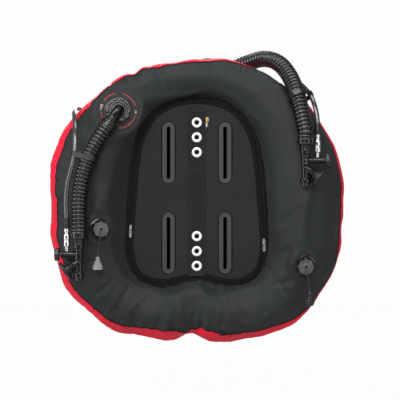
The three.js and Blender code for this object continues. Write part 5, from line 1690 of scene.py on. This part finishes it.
    # inflate button: stem, ribbed skirt and dished face
    def grip(r, z, turn_at):
        if r < 14.2 or z > 56.0:
            return r
        return r - 0.55 * (0.5 + 0.5 * math.cos(turn_at * 24)) ** 2
    profile = [(0, 29.2), (4, 29.2), (4, 46.6), (5.0, 47), (14.4, 47), (15.5, 48.0), (15.5, 55.2), (14.9, 56.8),
        (13.4, 57.5), (11.6, 57.2), (10.4, 56.4), (0, 56.1)]
    o = lathe(f"inflate_button_cap_{s}", profile, arm, 96, 0.4, shape=grip)
    piece(o, matt_plastic, f"inflate_button_{s}", f"inflate_button_{s}", sharp=50)
    # deflate button at the foot
    profile = [(0, -91.9), (8.4, -91.9), (8.75, -92.4), (8.75, -100.6), (8.2, -102.4), (6.8, -103), (5.4, -102.6),
        (0, -102.3)]
    o = lathe(f"deflate_button_cap_{s}", profile, column, 48, 0.35)
    piece(o, matt_plastic, f"deflate_button_{s}", f"deflate_button_{s}", sharp=50)
    # nipple, quick-release sleeve and ferrule on the supply hose
    side = local((29, 0, 0), UP)
    profile = [(0, -33), (4.75, -32.7), (4.75, -30.6), (3.7, -29.8), (3.7, -27.8), (4.75, -27.0), (4.75, -24.6),
        (4.0, -23.8), (4.0, -22.2), (4.75, -21.4), (4.75, -20.2), (4.2, -19.7), (0, -19.7)]
    nipple = lathe(f"nipple_{s}", profile, side, 36, 0.25)
    piece(nipple, chrome, "root", f"lp_nipple_{s}")

    def knurl(r, z, turn_at):
        if r < 7.1 or z > 4.2 or z < -17.6 or -9.2 < z < -4.2:
            return r
        return r - 0.3 * (0.5 + 0.5 * math.cos(turn_at * 32))

    profile = [(5.9, -20.7), (7.0, -20.7), (7.5, -19.8), (7.5, -10.0), (7.0, -9.2), (6.7, -8.4), (6.7, -5.2),
        (7.0, -4.4), (7.5, -3.6), (7.5, 5.0), (7.1, 6.6), (6.4, 7.3), (5.9, 7.3)]
    sleeve = lathe(f"qd_sleeve_ring_{s}", profile, side, 96, 0.2, shape=knurl, closed=True)
    piece(sleeve, chrome, f"qd_sleeve_{s}", f"qd_sleeve_{s}", sharp=50)
    profile = [(0, -19.4), (5.7, -19.4), (5.7, 10.6), (5.2, 11.2), (5.2, 12.4), (5.6, 12.8), (6.2, 13.2),
        (6.2, 17.4), (5.9, 18.0), (6.2, 18.6), (6.2, 23.0), (5.9, 23.6), (6.2, 24.2), (6.2, 28.6), (5.7, 29.8),
        (0, 29.8)]
    ferrule = lathe(f"ferrule_{s}", profile, side, 40, 0.25)
    piece(ferrule, chrome, "root", f"hose_ferrule_{s}")
    boot_top = arr(LP_ROUTE[s][0])
    t0 = unit(lp_line[s][3] - lp_line[s][0])
    boot = lathe(f"hose_boot_{s}", [(5.9, -9.0), (6.9, -9.0), (7.2, -8.2), (7.2, 3.0), (6.8, 6.0), (6.3, 16.0),
        (5.9, 17.6)], placed(boot_top, t0, ACROSS), 32, 0.3)
    piece(boot, rubber, "root", sharp=40)
    # fitting on the supply end: grip, hexagon and threaded nose
    at = arr(LP_ROUTE[s][-1]) + (0, 0, -0.3)
    fm = placed(at, UP, ACROSS)

    def hexed(r, z, turn_at):
        if not -26.2 < z < -17.6 or r < 8:
            return r
        a = (turn_at % (math.pi / 3)) - math.pi / 6
        return min(r, 7.9 / math.cos(a))

    profile = [(0, 0), (6.2, 0), (6.6, -0.7), (6.6, -5), (6.2, -5.6), (6.6, -6.2), (6.6, -11), (6.2, -11.6),
        (6.6, -12.2), (6.6, -16.2), (6.2, -17), (6.0, -17.4), (8.2, -17.6), (9.0, -18.4), (9.0, -25.2),
        (8.2, -26.0), (4.6, -26.3), (4.1, -27.2)]
    for k in range(8):
        z = -27.6 - k * 1.12
        profile += [(4.8, z), (4.25, z - 0.56)]
    profile += [(4.2, -36.6), (3.7, -37), (0, -37)]
    fitting = lathe(f"supply_fitting_{s}", profile, fm, 60, 0.12, shape=hexed)
    piece(fitting, chrome, "root", f"lp_fitting_{s}", sharp=40)
    o_ring = lathe(f"supply_o_ring_{s}",
        [(4.3 + 0.9 * math.cos(t), -26.9 + 0.6 * math.sin(t)) for t in np.arange(8) * math.pi / 4], fm, 28, 0,
        closed=True)
    piece(o_ring, rubber, "root", sharp=0)
    # clamp where the breathing hose meets the inflator
    hm = placed(air_line[s][-7], UP, ACROSS)
    band = lathe("band", CLAMP_BAND, hm, 60, 0.25, closed=True)
    lug = prism("lug", round_rect(6.2, 7, 1.2, 4), placed(hm[:3, 3] + (0, -19.7, 0), FRONT, UP), -0.8, 2.0, 0.5)
    # funnel between the hose and the inflator's cuff
    funnel = lathe(f"hose_funnel_{s}", [(17.6, 2.0), (18.3, 1.2), (18.3, -1.6), (16.8, -3.6), (14.6, -4.6),
        (13.4, -4.7), (0, -4.7)], placed(end, UP, ACROSS), 56, 0.4)
    piece(join(f"inflator_clamp_{s}", [band, lug]), plastic, "root", sharp=45)
    piece(funnel, rubber, "root", sharp=45)

    # the strap that holds both hoses together, at its height, as a hull of two rings
    z = {"left": 86, "right": 232}[s]
    beside = lp_line[s][int(np.argmin(np.abs(lp_line[s][:, 2] - z) + (lp_line[s][:, 1] > 0) * 999))]
    k_air = int(np.argmin(np.abs(air_line[s][:, 2] - z) + (np.linalg.norm(air_line[s] - beside,
        axis=1) > 90) * 999))
    k_lp = int(np.argmin(np.linalg.norm(lp_line[s] - air_line[s][k_air], axis=1)))
    pa, pl = air_line[s][k_air], lp_line[s][k_lp]
    ta = unit(unit(air_line[s][k_air + 3] - air_line[s][k_air - 3]))
    tl = unit(lp_line[s][k_lp + 1] - lp_line[s][k_lp - 1])
    if np.dot(ta, tl) < 0:
        tl = -tl
    axis = unit(ta + tl)
    across = pl - pa
    across -= axis * np.dot(across, axis)
    reach_l = np.linalg.norm(across)
    x = across / reach_l
    y = np.cross(axis, x)
    ra, rl = AIR_DIAMETER / 2 + 1.3, LP_DIAMETER / 2 + 1.6
    lean = math.asin((ra - rl) / reach_l)
    pts, nrm = [], []
    for t in np.linspace(math.pi / 2 - lean, 2 * math.pi - math.pi / 2 + lean, 46):
        pts.append(pa + ra * (math.cos(t) * x + math.sin(t) * y))
        nrm.append(math.cos(t) * x + math.sin(t) * y)
    for t in np.linspace(-math.pi / 2 + lean, math.pi / 2 - lean, 16):
        pts.append(pa + across + rl * (math.cos(t) * x + math.sin(t) * y))
        nrm.append(math.cos(t) * x + math.sin(t) * y)
    loop = dense(arr(pts), 2.2)
    order = [int(np.argmin(np.linalg.norm(arr(pts) - q, axis=1))) for q in loop]
    section = rounded([(-6.8, -0.7), (6.8, -0.7), (6.8, 0.8), (5.6, 1.1), (-5.6, 1.1), (-6.8, 0.8)], 0.3, True, 2)
    band = ribbon(f"hose_strap_web_{s}", loop, arr(nrm)[order], section)
    piece(band, rubber, "root", f"hose_strap_{s}", sharp=45)
    top_k = int(np.argmin([q[1] for q in loop]))
    bm = placed(loop[top_k], arr(nrm)[order][top_k], axis)
    buckle = prism(f"hose_strap_tab_{s}", round_rect(15, 17, 2, 5), bm, 0.6, 2.3, 0.5)
    piece(buckle, matt_plastic, "root", sharp=40)

    tuple(arr(AIR_ROUTE[s][0]) * MM)
    tuple(arr(LP_ROUTE[s][0]) * MM)

# ------------------------------------------------------------------ zip sliders and the tabs at the bottom edge

for s, z in (("left", -84), ("right", -118)):
    low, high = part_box(f"zipper_slider_{s}")
    mid = (arr(low) + arr(high)) / 2 / MM
    axis = unit({"left": (0.062, 0, 0.998), "right": (0.0203, 0, 0.9998)}[s])
    m = placed((mid[0], -3.4, z), FRONT, axis)
    outline = rounded([(9, -2.4), (9, 2.4), (4, 3.5), (-6, 3.1), (-9, 1.9), (-9, -1.9), (-6, -3.1), (4, -3.5)], 1.4,
        True, 3)
    base_plate = prism("slider_base", outline, m, 0.0, 1.6, 0.35)
    top_plate = prism("slider_top", outline * 0.94, m, 3.4, 5.0, 0.45)
    post = prism("slider_post", round_rect(4.2, 2.6, 1.0, 4) + (4.2, 0), m, 1.4, 3.6, 0.2)
    bridge_path = arr([[5.4, 0, 4.8], [4.6, 0, 6.4], [2.4, 0, 7.2], [-2.4, 0, 7.2], [-4.6, 0, 6.4], [-5.4, 0, 4.8]])
    bridge = sweep("slider_bridge", apply(m, curve_points(bridge_path, 0.8)[0]), 0.95, 10, cap=True)
    o = join(f"zip_slider_{s}", [base_plate, top_plate, post, bridge])
    piece(o, grey_metal, f"zipper_slider_{s}", f"zipper_slider_{s}", sharp=45)
    tm = placed((mid[0], -10.0, z - 11.5), (0, -1, -0.16), UP)
    ring = dense(round_rect(21, 5.6, 2.6, 6), 1.0)
    path = apply(tm, np.column_stack([ring, np.zeros(len(ring))]))
    pull = ribbon("pull_rim", path, np.tile(tm[:3, 2], (len(path), 1)), oval_section(0.8, 0.65))
    blade = prism("pull_blade", round_rect(13, 5.2, 1.8, 5) + (-3.2, 0), tm, -0.45, 0.45, 0.2)
    o = join(f"zip_pull_{s}", [pull, blade])
    piece(o, grey_metal, f"zipper_slider_{s}", sharp=45)

for k, (x, z, lean) in enumerate(((-62, -350, 0.06), (63, -343, -0.08))):
    a = math.degrees(math.atan2(z, x)) % 360
    col = int(round(a / 360 * AROUND)) % AROUND
    at = skin[col, SEAM_ROW]
    m = placed(at + (0, -1.0, -1.5), (lean, -0.75, -0.66), ACROSS)
    tab = prism(f"edge_tab_{k + 1}", round_rect(15, 11, 1.6, 4), m, -0.9, 0.9, 0.35)
    piece(tab, webbing, "root", sharp=35)

low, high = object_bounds()

# plain pale floor, well below the object
FLOOR_RADIUS, FLOOR_Z = 3600, -560
floor = make_object("floor", [(FLOOR_RADIUS * math.cos(t), FLOOR_RADIUS * math.sin(t),
    FLOOR_Z) for t in np.arange(96) * math.pi / 48], [tuple(range(96))], smooth=False)
pale = bpy.data.materials.new("pale_floor")
pale.use_nodes = True
tree = pale.node_tree
tree.nodes.clear()
matt, glow = tree.nodes.new("ShaderNodeBsdfDiffuse"), tree.nodes.new("ShaderNodeEmission")
matt.inputs["Color"].default_value = (0.5, 0.5, 0.5, 1)
glow.inputs["Color"].default_value = (WHITE, WHITE, WHITE, 1)
path, part, both, out = (tree.nodes.new("ShaderNode" + kind) for kind in ("LightPath", "Math", "MixShader",
    "OutputMaterial"))
part.operation = "MULTIPLY"
part.inputs[1].default_value = 0.99
tree.links.new(path.outputs["Is Camera Ray"], part.inputs[0])
tree.links.new(part.outputs[0], both.inputs[0])
tree.links.new(matt.outputs[0], both.inputs[1])
tree.links.new(glow.outputs[0], both.inputs[2])
tree.links.new(both.outputs[0], out.inputs["Surface"])
floor.data.materials.append(pale)
